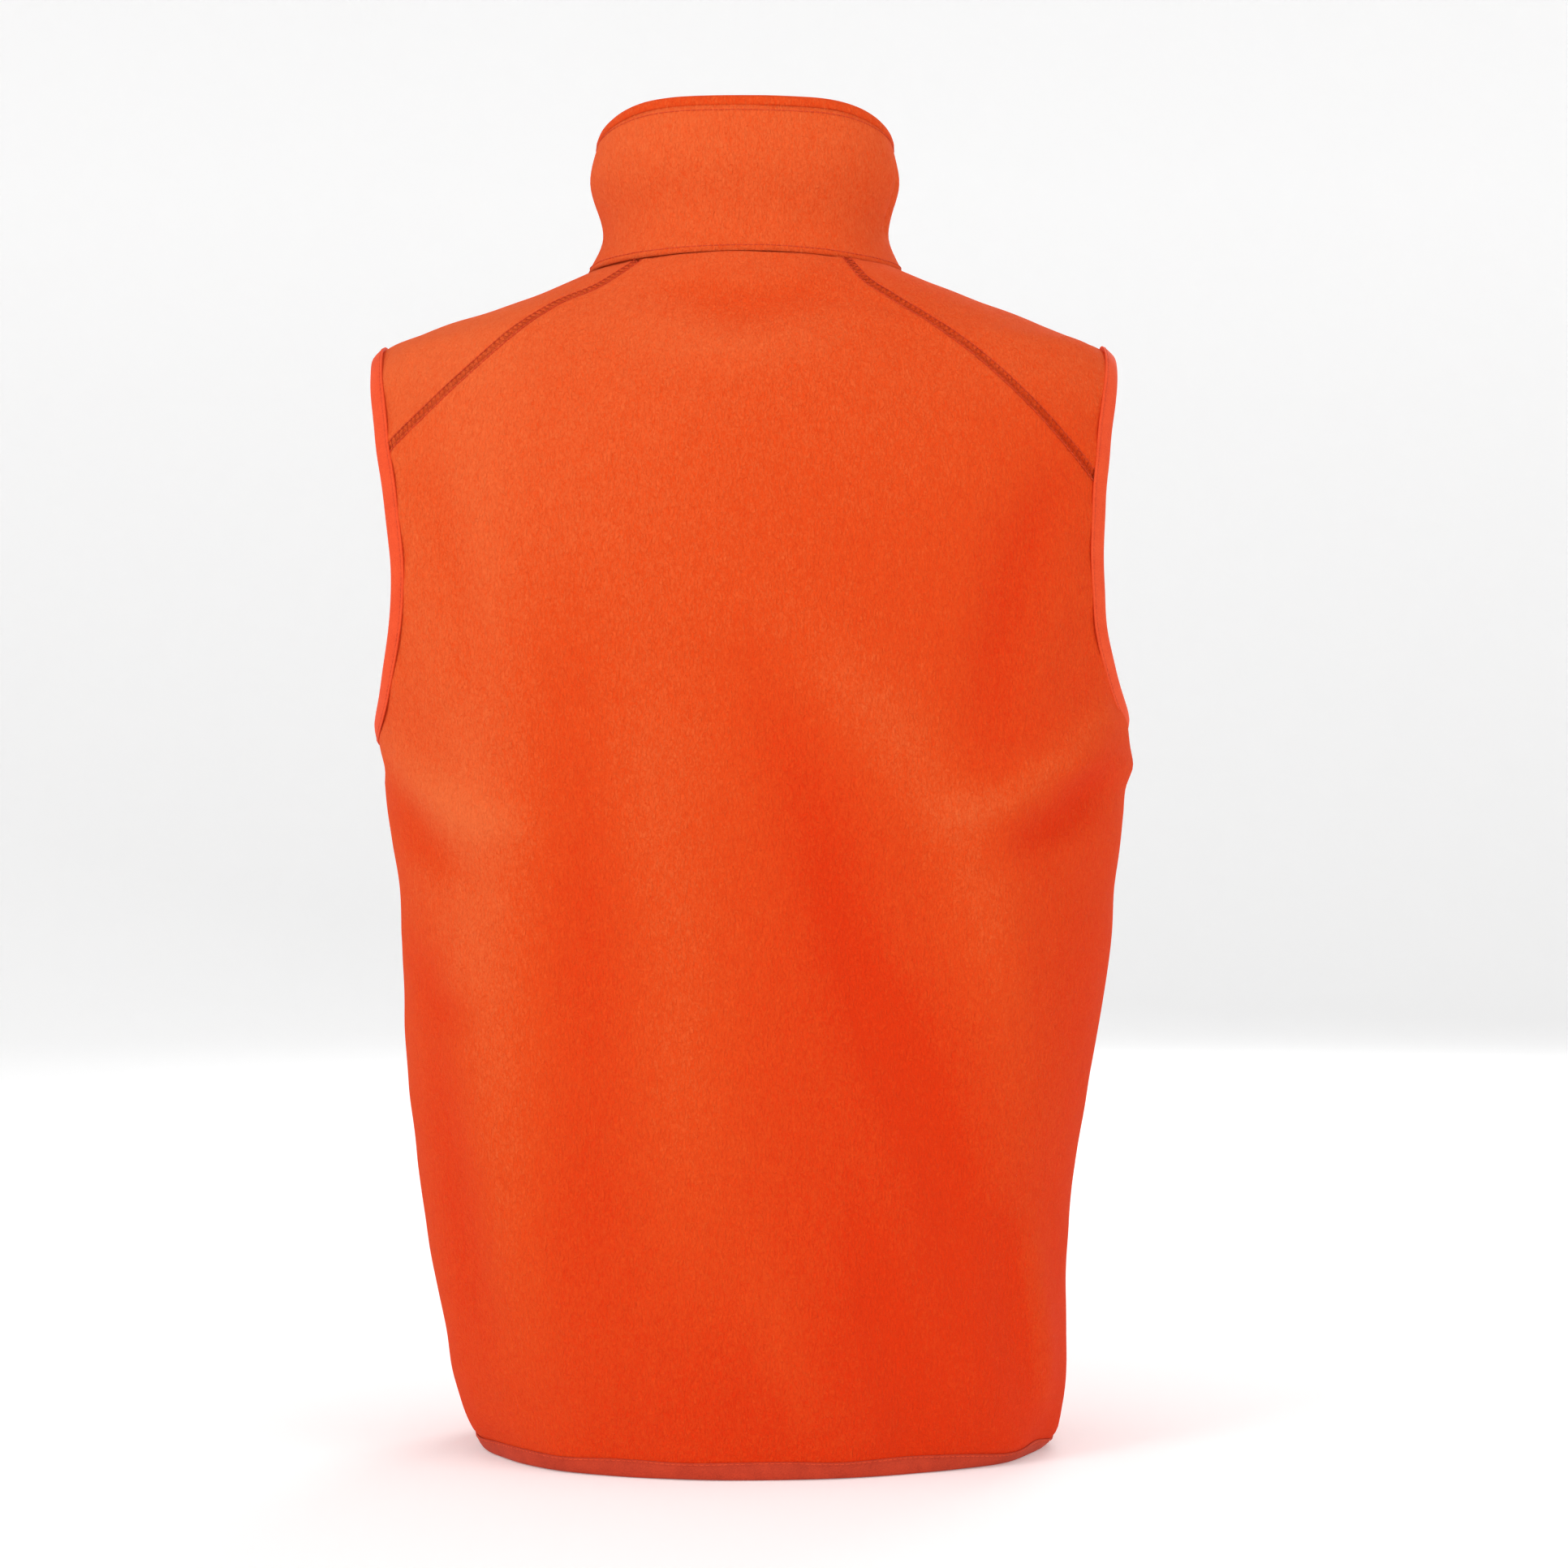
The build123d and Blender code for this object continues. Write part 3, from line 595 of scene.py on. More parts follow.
# ---- materials -----------------------------------------------------------------------------------
def srgb(r, g, b):
    def linear(c):
        c /= 255
        return c / 12.92 if c <= 0.04045 else ((c + 0.055) / 1.055) ** 2.4

    return (linear(r), linear(g), linear(b), 1.0)


class Nodes:
    """A material's node tree with short ways to add and join nodes."""

    def __init__(self, name):
        self.material = bpy.data.materials.new(name)
        self.material.use_nodes = True
        self.tree = self.material.node_tree
        self.shader = self.tree.nodes["Principled BSDF"]

    def add(self, kind, **settings):
        node = self.tree.nodes.new(kind)
        for key, value in settings.items():
            if hasattr(node, key):
                setattr(node, key, value)
            else:
                node.inputs[key.replace("_", " ").title()].default_value = value
        return node

    def join(self, out, into):
        self.tree.links.new(out, into)

    def place(self, scale=(1, 1, 1)):
        where = self.add("ShaderNodeTexCoord")
        mapping = self.add("ShaderNodeMapping")
        mapping.inputs["Scale"].default_value = scale
        self.join(where.outputs["Object"], mapping.inputs["Vector"])
        return mapping.outputs["Vector"]

    def noise(self, vector, scale, detail=2.0, roughness=0.5, distortion=0.0):
        node = self.add("ShaderNodeTexNoise")
        values = {"Scale": scale, "Detail": detail, "Roughness": roughness, "Distortion": distortion}
        for key, value in values.items():
            node.inputs[key].default_value = value
        self.join(vector, node.inputs["Vector"])
        return node.outputs["Fac"]

    def ramp(self, value, stops):
        node = self.add("ShaderNodeValToRGB")
        while len(node.color_ramp.elements) < len(stops):
            node.color_ramp.elements.new(0.5)
        for element, (at, colour) in zip(node.color_ramp.elements, stops):
            element.position, element.color = at, colour
        self.join(value, node.inputs["Fac"])
        return node.outputs["Color"]

    def colour(self, value, stops):
        self.join(self.ramp(value, stops), self.shader.inputs["Base Color"])

    def sum(self, a, b, weight):
        node = self.add("ShaderNodeMath", operation="MULTIPLY_ADD")
        self.join(b, node.inputs[0])
        node.inputs[1].default_value = weight
        self.join(a, node.inputs[2])
        return node.outputs[0]

    def shift(self, a, by):
        node = self.add("ShaderNodeMath", operation="ADD")
        self.join(a, node.inputs[0])
        node.inputs[1].default_value = by
        return node.outputs[0]

    def bump(self, height, strength, distance):
        node = self.add("ShaderNodeBump")
        node.inputs["Strength"].default_value = strength
        node.inputs["Distance"].default_value = distance
        self.join(height, node.inputs["Height"])
        self.join(node.outputs["Normal"], self.shader.inputs["Normal"])

    def set(self, **values):
        for key, value in values.items():
            self.shader.inputs[key.replace("_", " ")].default_value = value


# Painted shade to painted highlight; the tufts' random tone also moves along it.
SHADE_TO_HIGHLIGHT_RAMP = [(0.0, srgb(228, 55, 13)), (0.5, srgb(233, 77, 26)), (1.0, srgb(240, 106, 54))]


def fleece(name, pile=900):
    """Brushed microfleece: short tufts that run mostly up and down, lighter and darker by the stored
    painted light and shade.
    """
    m = Nodes(name)
    where = m.place((1.0, 1.0, 0.55))
    tufts = m.noise(where, pile, 3.0, 0.6, 0.9)
    clumps = m.noise(where, pile / 4, 2.0, 0.5, 0.3)
    # The stored painted light and shade tone, added to the tufts' own random tone.
    painted_tone = m.add("ShaderNodeAttribute", attribute_name="painted_tone").outputs["Fac"]
    tone = m.shift(m.sum(m.sum(painted_tone, tufts, 1.0), clumps, 0.25), -0.625)
    m.colour(tone, SHADE_TO_HIGHLIGHT_RAMP)
    m.bump(m.sum(tufts, clumps, 0.3), 0.9, 0.0014)
    m.set(Roughness=0.97, Specular_IOR_Level=0.08)
    m.set(Sheen_Weight=0.06, Sheen_Roughness=0.5, Sheen_Tint=(1.0, 0.5, 0.3, 1))
    return m.material


def knit(name, light, dark, rib=1500):
    """Smooth elastic knit with very fine ribs."""
    m = Nodes(name)
    where = m.place()
    fine = m.noise(where, rib, 2.0, 0.5, 0.2)
    soft = m.noise(where, 120, 2.0)
    m.colour(m.sum(fine, soft, 0.6), [(0.45, dark), (1.0, light)])
    m.bump(fine, 0.45, 0.0003)
    m.set(Roughness=0.8, Specular_IOR_Level=0.18)
    m.set(Sheen_Weight=0.03, Sheen_Roughness=0.5, Sheen_Tint=(1.0, 0.6, 0.45, 1))
    return m.material


def weave(name, light, dark, across=1400, up=1400):
    """Woven tape: bands of warp crossed by weft."""
    m = Nodes(name)
    warp = m.add("ShaderNodeTexWave", bands_direction="X")
    weft = m.add("ShaderNodeTexWave", bands_direction="Z")
    for node, scale in ((warp, across), (weft, up)):
        node.inputs["Scale"].default_value = scale / 6.2832
        node.inputs["Distortion"].default_value = 0.4
        node.inputs["Detail"].default_value = 1.0
        m.join(m.place(), node.inputs["Vector"])
    crossed = m.add("ShaderNodeMath", operation="MULTIPLY")
    m.join(warp.outputs["Fac"], crossed.inputs[0])
    m.join(weft.outputs["Fac"], crossed.inputs[1])
    m.colour(crossed.outputs[0], [(0.0, dark), (0.8, light)])
    m.bump(crossed.outputs[0], 0.5, 0.0003)
    m.set(Roughness=0.8, Sheen_Weight=0.08, Specular_IOR_Level=0.25)
    return m.material


def moulded(name, light, dark, roughness, metallic=0.0):
    """Moulded or enamelled hard parts with a little colour variation and handling marks."""
    m = Nodes(name)
    where = m.place()
    m.colour(m.noise(where, 300, 3.0), [(0.3, dark), (0.75, light)])
    gloss = m.add("ShaderNodeMapRange")
    m.join(m.noise(where, 700, 3.0), gloss.inputs["Value"])
    gloss.inputs["To Min"].default_value = roughness - 0.07
    gloss.inputs["To Max"].default_value = roughness + 0.1
    m.join(gloss.outputs["Result"], m.shader.inputs["Roughness"])
    m.bump(m.noise(where, 1600, 2.0), 0.15, 0.0001)
    m.set(Metallic=metallic)
    return m.material


FLEECE = fleece("fleece")
FLEECE_IN = fleece("fleece_inside", pile=1100)
BINDING = knit("binding_knit", srgb(236, 84, 42), srgb(222, 68, 30))
# The hem binding's knit is the binding's orange darkened: painted shade for the turned-under edge that
# faces down.
HEM_KNIT_SHADED = knit("hem_knit_painted_shade", srgb(200, 66, 38), srgb(172, 52, 30))
THREADS = knit("thread", srgb(228, 84, 46), srgb(196, 60, 32), rib=2600)
SEAM_THREAD = knit("seam_thread", srgb(222, 76, 38), srgb(188, 52, 24), rib=2600)
ZIP_TAPE_CLOTH = weave("zip_tape_weave", srgb(214, 72, 34), srgb(170, 48, 20))
TWILL = weave("neck_twill", srgb(212, 70, 34), srgb(160, 44, 20), across=900, up=900)
COIL = moulded("zip_coil", srgb(226, 80, 38), srgb(206, 66, 30), 0.42)
PLASTIC = moulded("zip_plastic", srgb(216, 74, 34), srgb(198, 62, 28), 0.35)
ENAMEL = moulded("zip_enamel", srgb(212, 70, 30), srgb(196, 60, 26), 0.28)
LABEL = weave("label_satin", srgb(240, 238, 232), srgb(214, 212, 206), across=2400, up=2400)
POCKET_MESH = knit("pocket_tricot", srgb(232, 86, 44), srgb(206, 66, 32), rib=900)


# ---- zips ----------------------------------------------------------------------------------------
TAPE_HALF = 12.0
TAPE_THICK = 0.6
COIL_INNER, COIL_OUTER, COIL_THICK = -0.3, 3.05, 2.1
COIL_PITCH = 1.35
WIRE = 0.34
# The front zip's tape on the wearer's left, from the coil out: it has a corded edge behind the coil.
TAPE_SECTION = [
    (0.6, 0.0), (0.75, -0.01), (6.5, 0.0), (11.0, 0.0), (12.0, 0.1), (12.0, 0.5), (11.0, 0.6),
    (6.5, 0.6), (3.2, 0.6), (2.6, 0.85), (1.4, 0.85), (0.6, 0.6),
]
MAIN_FACE = 1.2             # cloth face to the face of the front zip's coil
POCKET_TAPE_DEPTH = CLOTH + 0.3
POCKET_ENDS = [(130.0, 104.0), (132.0, 262.0)]
POCKET_LENGTH = POCKET_ENDS[1][1] - POCKET_ENDS[0][1]


class Line:
    """A zip's own frame: x across it, y into the garment and z up the chain."""

    def __init__(self, origin, along, outward):
        self.origin, self.along = np.array(origin, float), unit(along)
        self.across = -unit(np.cross(outward, self.along))
        self.inward = np.cross(self.along, self.across)

    def world(self, points):
        p = np.asarray(points, float)
        return self.origin + p[..., :1] * self.across + p[..., 1:2] * self.inward + p[..., 2:] * self.along

    def local(self, p):
        d = p - self.origin
        return d @ self.across, d @ self.inward, d @ self.along


def surface_at(x, z):
    """The angle and level of the front of the body at width x and height z."""
    phi, t = body.find(np.array([math.copysign(0.7, x)]), np.array([float(z)]), np.array([[x, z]]))
    return phi, t


def pocket_line(side):
    ends = [body.point(*surface_at(SIGN[side] * x, z))[0] for x, z in POCKET_ENDS]
    mid = [(a + b) / 2 for a, b in zip(*POCKET_ENDS)]
    phi, t = surface_at(SIGN[side] * mid[0], mid[1])
    return Line(body.point(phi, t)[0], ends[1] - ends[0], body.normal(phi, t)[0])


FRONT_LEAN = FRONT_TOP_Y - FRONT_HEM_Y
MAIN = Line((0, FRONT_HEM_Y, 0), (0, FRONT_LEAN, FRONT_TOP_Z), (0, -FRONT_TOP_Z, FRONT_LEAN))
MAIN_LENGTH = math.hypot(FRONT_TOP_Z, FRONT_LEAN)
POCKETS = {side: pocket_line(side) for side in SIGN}


def coil(name, line, sign, low, high, face):
    """Half of a closed coil zip: a flattened helix of wire, reaching past the middle, round a core."""
    steps = 10
    a = np.arange(0, (high - low) / COIL_PITCH - 0.6, 1 / steps) * 2 * math.pi
    middle, half = (COIL_INNER + COIL_OUTER) / 2, (COIL_OUTER - COIL_INNER) / 2 - WIRE
    depth = COIL_THICK / 2 - WIRE
    x = middle + half * np.cos(a)
    y = face + COIL_THICK / 2 + depth * np.sin(a)
    z = low + WIRE + COIL_PITCH * (a / (2 * math.pi) + (0.5 if sign < 0 else 0))
    wire = line.world(np.stack([sign * x, y, z], axis=-1))
    core_x, core_y = sign * (middle + 0.25), face + COIL_THICK / 2
    core = line.world(np.array([(core_x, core_y, v) for v in np.linspace(low + 0.2, high - 0.2, 60)]))
    obj = add_mesh(name, *merged([tube_mesh(wire, WIRE, 5), tube_mesh(core, 0.62, 8)]), COIL)
    return obj


def coil_sewing(name, line, low, high, face):
    """The two rows of chain stitch that hold each half of the coil to its tape."""
    rows = []
    for sign in (1, -1):
        z = np.linspace(low + 1, high - 1, 80)
        p = line.world(np.stack([np.full_like(z, sign * 2.0), np.full_like(z, face - 0.02), z], axis=-1))
        rows.append((p, np.tile(-line.inward, (len(z), 1))))
    return stitches(name, rows, THREADS, 2.3, 0.2)


def build_main_zip():
    """Tapes with a corded edge by the coil, the coil, and its sewing."""
    box_top, chain_top, tape_top = 14.0, MAIN_LENGTH - 16, MAIN_LENGTH - COLLAR_EDGE - 3
    tape = MAIN_FACE + COIL_THICK
    done = {}
    for side, sign in SIGN.items():
        z = np.linspace(1.5, tape_top, 150)
        section = [(sign * x, tape + y) for x, y in TAPE_SECTION]
        obj = lofted(f"zip_tape_{side}_weave", MAIN, section, z, ZIP_TAPE_CLOTH, sign < 0)
        done[f"zip_tape_{side}"] = obj
        done[f"zip_chain_{side}"] = coil(f"zip_coil_{side}", MAIN, sign, box_top, chain_top, MAIN_FACE)
    coil_sewing("zip_coil_sewing", MAIN, box_top, chain_top, MAIN_FACE)
    return done


def lofted(name, line, section, z, material, flip):
    """A closed section of (x, y) points carried up a zip's frame, capped at both ends."""
    rows = np.array([[(x, y, height) for x, y in section] for height in z])
    faces = tube_faces(len(z), len(section))
    return add_mesh(name, line.world(rows).reshape(-1, 3), flipped(faces) if flip else faces, material)


def slot_field(side, half_width, half_length, radius=3.0):
    """Positive outside a slot with rounded ends round the pocket zip."""
    line = POCKETS[side]

    def field(p):
        x, y, z = line.local(p)
        outside = -rounded(x, z, half_width, half_length, radius)
        return np.where(np.abs(y) < 60, outside, OFF_SIDE)

    return field


def slot_outline(side, half_width, half_length, radius=3.0):
    """(phi, t) along the rounded slot, and a little more than once round."""
    line = POCKETS[side]
    quarter = np.linspace(0, math.pi / 2, 6)
    points = []
    for turn, (side_x, side_z) in enumerate(((1, 1), (-1, 1), (-1, -1), (1, -1))):
        x, z = side_x * (half_width - radius), side_z * (half_length - radius)
        angles = quarter + turn * math.pi / 2
        points += [(x + radius * math.cos(a), z + radius * math.sin(a)) for a in angles]
    points.append(points[0])
    return under_slot(line, resample(np.array([(x, 0, z) for x, z in points]), 2.0))


def under_slot(line, flat):
    """(phi, t) of the cloth where points of a pocket zip's own frame lie over it."""
    p = line.world(flat)
    phi, t = surface_at(p[:, 0].mean(), p[:, 2].mean())
    return body.find(np.full(len(p), phi[0]), np.full(len(p), t[0]), p[:, [0, 2]])


def pocket_tape(name, side, toward, half_length):
    """A tape that lies flat along the slider's way and follows the cloth further out."""
    line = POCKETS[side]
    across = np.array([0.6, 2.0, 3.4, 4.9, 6.2, 8.0, 10.0, TAPE_HALF])
    z, x = np.meshgrid(np.linspace(-half_length, half_length, 61), across, indexing="ij")
    phi, t = under_slot(line, np.stack([toward * x, 0 * x, z], axis=-1).reshape(-1, 3))
    outer, n = on_cloth(body, phi, t, POCKET_TAPE_DEPTH)
    lift = (line.local(outer)[1] - POCKET_TAPE_DEPTH) * (1 - smooth(4.9, 7.5, x.ravel()))
    outer -= lift[:, None] * line.inward
    faces = grid_faces(*x.shape, flip=toward < 0)
    return add_mesh(name, *closed_sheet(outer, outer - n * TAPE_THICK, faces), ZIP_TAPE_CLOTH)


def build_pocket(side):
    """A zip in its slot, two rows of stitches round it, and the bag."""
    line, sign = POCKETS[side], SIGN[side]
    half = POCKET_LENGTH / 2
    done = {}
    for name, toward in (("inner", -sign), ("outer", sign)):
        piece = f"pocket_{side}_zip_tape_{name}"
        done[piece] = pocket_tape(piece + "_weave", side, toward, half + 11)
        chain = coil(f"pocket_{side}_coil_{name}", line, toward, 4 - half, half - 4, 0.0)
        done[f"pocket_{side}_zip_chain_{name}"] = chain
    coil_sewing(f"pocket_{side}_coil_sewing", line, 4 - half, half - 4, 0.0)
    rows = []
    for out in (2.2, 8.0):
        phi, t = slot_outline(side, ZIP_GAP + out, half + 4 + out, 3.0 + out)
        p, n = on_cloth(body, phi, t)
        rows.append((p, n))
    stitches(f"pocket_{side}_stitches", rows, THREADS)
    done[f"pocket_{side}_bag"] = pocket_bag(side)
    return done


def pocket_bag(side):
    """A sheet against the front with the zip's slot in it, and a looser one behind."""
    inner, outer_edge, middle_z, half_height = 34, 150, 178, 106

    def front_only(p):
        x = np.abs(p[..., 0])
        return np.minimum(np.minimum(x - inner, outer_edge - x), 8 - p[..., 1])

    def outline(p):
        x = np.abs(p[..., 0]) - (inner + outer_edge) / 2
        return rounded(x, p[..., 2] - middle_z, (outer_edge - inner) / 2, half_height, 24)

    low, high = sorted((SIGN[side] * 0.18, SIGN[side] * 1.5))
    slot = slot_field(side, TAPE_HALF + 0.5, POCKET_LENGTH / 2 + 11.5)
    uv, faces = patch(body, 60, 300, low, high, [front_only, outline, slot])
    outer, n = on_cloth(body, uv[:, 0], uv[:, 1], CLOTH + 0.2)
    against = closed_sheet(outer, outer - n * 0.6, faces)
    uv, faces = patch(body, 60, 300, low, high, [front_only, outline])
    outer, n = on_cloth(body, uv[:, 0], uv[:, 1], CLOTH + 0.9)
    edge = smooth(0, 16, outline(body.point(uv[:, 0], uv[:, 1])))
    outer = outer - n * (edge * (4.6 + 0.9 * rough(outer, 30, 77)))[:, None]
    behind = closed_sheet(outer, outer - n * 0.6, faces)
    bag = add_mesh(f"pocket_{side}_bag_cloth", *merged([against, behind]), POCKET_MESH)
    return bag


def rounded(x, z, half_x, half_z, radius):
    """Positive inside a rounded rectangle."""
    dx, dz = np.abs(x) - (half_x - radius), np.abs(z) - (half_z - radius)
    return radius - np.hypot(np.maximum(dx, 0), np.maximum(dz, 0)) - np.minimum(np.maximum(dx, dz), 0)


# ---- inside the neck, and the care label ---------------------------------------------------------
def build_neck_tape():
    """A herringbone tape over the collar seam, with a row of stitches by each edge."""
    depth = 2 * COLLAR_PLY + COLLAR_PLY_GAP + 0.2
    uv, faces = patch(collar, 1, 13, math.radians(98), math.radians(262))
    obj = cloth_sheet("neck_tape_twill", collar, uv, faces, TWILL, depth, 1.0)
    rows = []
    for level in (2.4, 11.6):
        phi = np.linspace(math.radians(100), math.radians(260), 120)
        p, n = on_cloth(collar, phi, level, depth + 1.0)
        rows.append((p, -n))
    stitches("neck_tape_stitches", rows, THREADS)
    return obj


def build_hanger_loop():
    """A narrow strap sewn in under the tape and bent into a loop."""
    y, top, low, half, radius = 61.9, 661.0, 649.8, 20.2, 7.0
    corner = np.linspace(0, math.pi / 2, 8)
    points = [(half, top)]
    points += [(half - radius + radius * math.cos(a), low + radius - radius * math.sin(a)) for a in corner]
    points += [(-half + radius - radius * math.sin(a), low + radius - radius * math.cos(a)) for a in corner]
    points += [(-half, top)]
    p = resample(np.array([(x, y, z) for x, z in points]), 0.7)
    n = np.tile([0.0, -1.0, 0.0], (len(p), 1))
    strap = [
        (-1.7, -0.3), (-1.5, -0.5), (1.5, -0.5), (1.7, -0.3), (1.7, 0.3), (1.5, 0.5), (0, 0.42),
        (-1.5, 0.5), (-1.7, 0.3),
    ]
    obj = sweep("hanger_loop_strap", p, *frames_along(p, n), strap, TWILL, False, "hanger_loop_body")
    return obj


def label(name, corner, across, up, out, size, bulge, material):
    """A blank woven label: a thin sheet with a gentle curl, from its top corner."""
    nu, nv = 24, 18
    u, v = np.meshgrid(np.linspace(0, 1, nu + 1), np.linspace(0, 1, nv + 1))
    wave = bulge * (v**2 * np.sin(math.pi * u) + 0.25 * np.sin(7 * u) * v)
    corner, across, up, out = (np.array(a, float) for a in (corner, across, up, out))
    rows = corner + u[..., None] * across * size[0] - v[..., None] * up * size[1] + wave[..., None] * out
    index = np.arange((nu + 1) * (nv + 1)).reshape(nv + 1, nu + 1)
    corners = [index[:-1, :-1], index[1:, :-1], index[1:, 1:], index[:-1, 1:]]
    faces = np.stack(corners, axis=-1).reshape(-1, 4).tolist()
    if np.dot(np.cross(across, up), out) < 0:
        faces = flipped(faces)
    outer = rows.reshape(-1, 3)
    obj = add_mesh(name, *closed_sheet(outer, outer - out * 0.4, faces), material)
    return obj


# ---- the vest's panels ---------------------------------------------------------------------------
def below(lines, side):
    return lambda p: line_value(lines[side], np.abs(p[..., 0])) - p[..., 2]


def both_sides(make):
    """A field that uses the left or the right line by the sign of x."""
    return lambda p: np.where(p[..., 0] > 0, make("left")(p), make("right")(p))


SEAM_EDGE = 3.0     # the cloth stops this far inside the bound edge


def build_back():
    fields = [
        lambda p: p[..., 1] - SIDE_SEAM_Y,
        both_sides(lambda side: below(BACK_RAGLAN, side)),
        both_sides(lambda side: armhole_field(side, SEAM_EDGE)),
    ]
    uv, faces = patch(body, HEM_T + 3, body.top, math.radians(80), math.radians(280), fields)
    return cloth_sheet("back_panel_cloth", body, uv, faces, FLEECE)


def build_front(side):
    sign = SIGN[side]
    fields = [
        lambda p: SIDE_SEAM_Y - p[..., 1],
        below(FRONT_RAGLAN, side),
        armhole_field(side, SEAM_EDGE),
        slot_field(side, ZIP_GAP, POCKET_LENGTH / 2 + 4),
    ]
    start = lambda t: sign * body.phi_at(t, ZIP_GAP)
    uv, faces = patch(body, HEM_T + 3, body.top, start, sign * math.radians(100), fields)
    faces = flipped(faces) if sign < 0 else faces
    return cloth_sheet(f"front_panel_{side}_cloth", body, uv, faces, FLEECE)


def build_shoulder(side):
    sign = SIGN[side]
    back, front = below(BACK_RAGLAN, side), below(FRONT_RAGLAN, side)
    fields = [
        lambda p: -np.where(p[..., 1] > SIDE_SEAM_Y, back(p), front(p)),
        armhole_field(side, SEAM_EDGE),
    ]
    uv, faces = patch(body, 430, body.top, sign * 0.02, sign * (math.pi - 0.02), fields)
    faces = flipped(faces) if sign < 0 else faces
    return cloth_sheet(f"shoulder_panel_{side}_cloth", body, uv, faces, FLEECE)


EDGE_PROFILE = [
    (-10.6, 0.1), (-10.5, 0.6), (-9.6, 0.95), (-8.6, 0.75), (-7.4, 1.15), (-4.5, 1.35), (-2.0, 1.25),
    (-0.4, 0.75), (0.5, -0.2), (0.75, -1.2), (0.5, -2.2), (-0.4, -3.1), (-2.0, -3.6), (-4.5, -3.6),
    (-8.6, -3.1), (-10.5, -2.9), (-10.6, -2.3), (-6.0, -1.2),
]


def build_armhole_binding(side):
    phi, t = ARMHOLE_LINES[side]
    p, n = even_line(*on_cloth(body, phi, t), closed=True, count=300)
    p = relax(p, 4)
    sideways, up = frames_along(p, n, True)
    centre = p.mean(axis=0)
    if np.mean(np.sum((centre - p) * sideways, axis=1)) < 0:
        sideways = -sideways
    obj = sweep(f"armhole_binding_{side}_knit", p, sideways, up, EDGE_PROFILE, BINDING, True)
    row = p - sideways * 9.0
    stitches(f"armhole_stitches_{side}", [(row + up * 0.7, up), (row - up * 3.1, -up)], THREADS)
    return obj


def round_span(girths, level, gap, steps):
    """Angles round a level, from one side of the front zip to the other."""
    t = np.array([level])
    return np.linspace(girths.phi_at(t, gap)[0], 2 * math.pi + girths.phi_at(t, -gap)[0], steps)


def build_hem():
    phi = round_span(body, HEM_T, ZIP_GAP, 500)
    p, n = on_cloth(body, phi, HEM_T)
    p[:, 2] = 0
    tangent = unit(np.gradient(p, axis=0))
    upper, _ = on_cloth(body, phi, HEM_T + HEM_BINDING)
    down = p - upper
    down = unit(down - tangent * np.sum(down * tangent, axis=1, keepdims=True))
    out = unit(np.cross(tangent, -down))
    profile = [(a * 0.86 - 0.75, b) for a, b in EDGE_PROFILE]
    obj = sweep("hem_binding_knit", p, down, out, profile, HEM_KNIT_SHADED, False)
    stitches("hem_stitches", [(p - down * HEM_BINDING + out * 0.65, out)], THREADS)
    return obj


def ladder(name, phi, t):
    """A coverstitched seam: two rows of stitches with looper thread lying between them."""
    p, n = even_line(*on_cloth(body, phi, t), STITCH / 2)
    sideways, up = frames_along(p, n)
    rows = [(p + sideways * w + up * 1.0, up) for w in (-2.6, 2.6)]
    stitches(name, rows, SEAM_THREAD, 2.6, 0.33)
    swing = np.where(np.arange(len(p)) % 2 == 0, 1, -1)[:, None]
    zigzag = p + sideways * swing * 2.3 + up * 1.05
    add_mesh(name + "_looper", *tube_mesh(zigzag, THREAD, 5), SEAM_THREAD)


# The pieces, by the CAD node that each one stands for.
pieces = {"back_panel": build_back(), "hem_binding": build_hem()}
for side in SIGN:
    pieces[f"front_panel_{side}"] = build_front(side)
    pieces[f"shoulder_panel_{side}"] = build_shoulder(side)
    pieces[f"armhole_binding_{side}"] = build_armhole_binding(side)
for (raglan_side, at_back), raglan in RAGLAN_LINES.items():
    ladder(f"raglan_{'back' if at_back else 'front'}_{raglan_side}", *raglan)


# ---- collar --------------------------------------------------------------------------------------
def build_collar():
    ply_top = collar.top - COLLAR_EDGE
    lining_depth = COLLAR_PLY + COLLAR_PLY_GAP
    plies = []
    for name, front, gap, material in (
        ("collar_outer_cloth", 0, ZIP_GAP, FLEECE),
        ("collar_lining_cloth", lining_depth, 13, FLEECE_IN),
    ):
        start = lambda t: collar.phi_at(t, gap)
        end = lambda t: 2 * math.pi + collar.phi_at(t, -gap)
        uv, faces = patch(collar, 0, ply_top + 1, start, end)
        plies.append(cloth_sheet(name, collar, uv, faces, material, front, COLLAR_PLY))
    phi = round_span(collar, collar.top, ZIP_GAP, 320)
    p, n = on_cloth(collar, phi, collar.top - 1.5)
    sideways, up = frames_along(p, n)
    lower, _ = on_cloth(collar, phi, collar.top - 8)
    if np.mean(np.sum((p - lower) * sideways, axis=1)) < 0:
        sideways = -sideways
    half = (lining_depth + COLLAR_PLY) / 2
    roll = [
        (-COLLAR_EDGE, 0.1), (-5.2, 0.7), (-3.5, 1.0), (-1.5, 0.7), (-0.2, -0.3), (0.6, -half),
        (0.0, -2 * half + 0.5), (-1.5, -2 * half - 0.6), (-3.5, -2 * half - 0.8), (-5.2, -2 * half - 0.6),
        (-COLLAR_EDGE, -2 * half), (-COLLAR_EDGE + 0.8, -half),
    ]
    plies.append(sweep("collar_edge_roll", p, sideways, up, roll, FLEECE, False))
    # A middle painted light and shade tone all along the edge roll.
    store_painted_light(plies[-1], np.full(len(plies[-1].data.vertices), 0.5))
    return plies


pieces.update(zip(("collar_outer", "collar_lining", "collar_edge"), build_collar()))


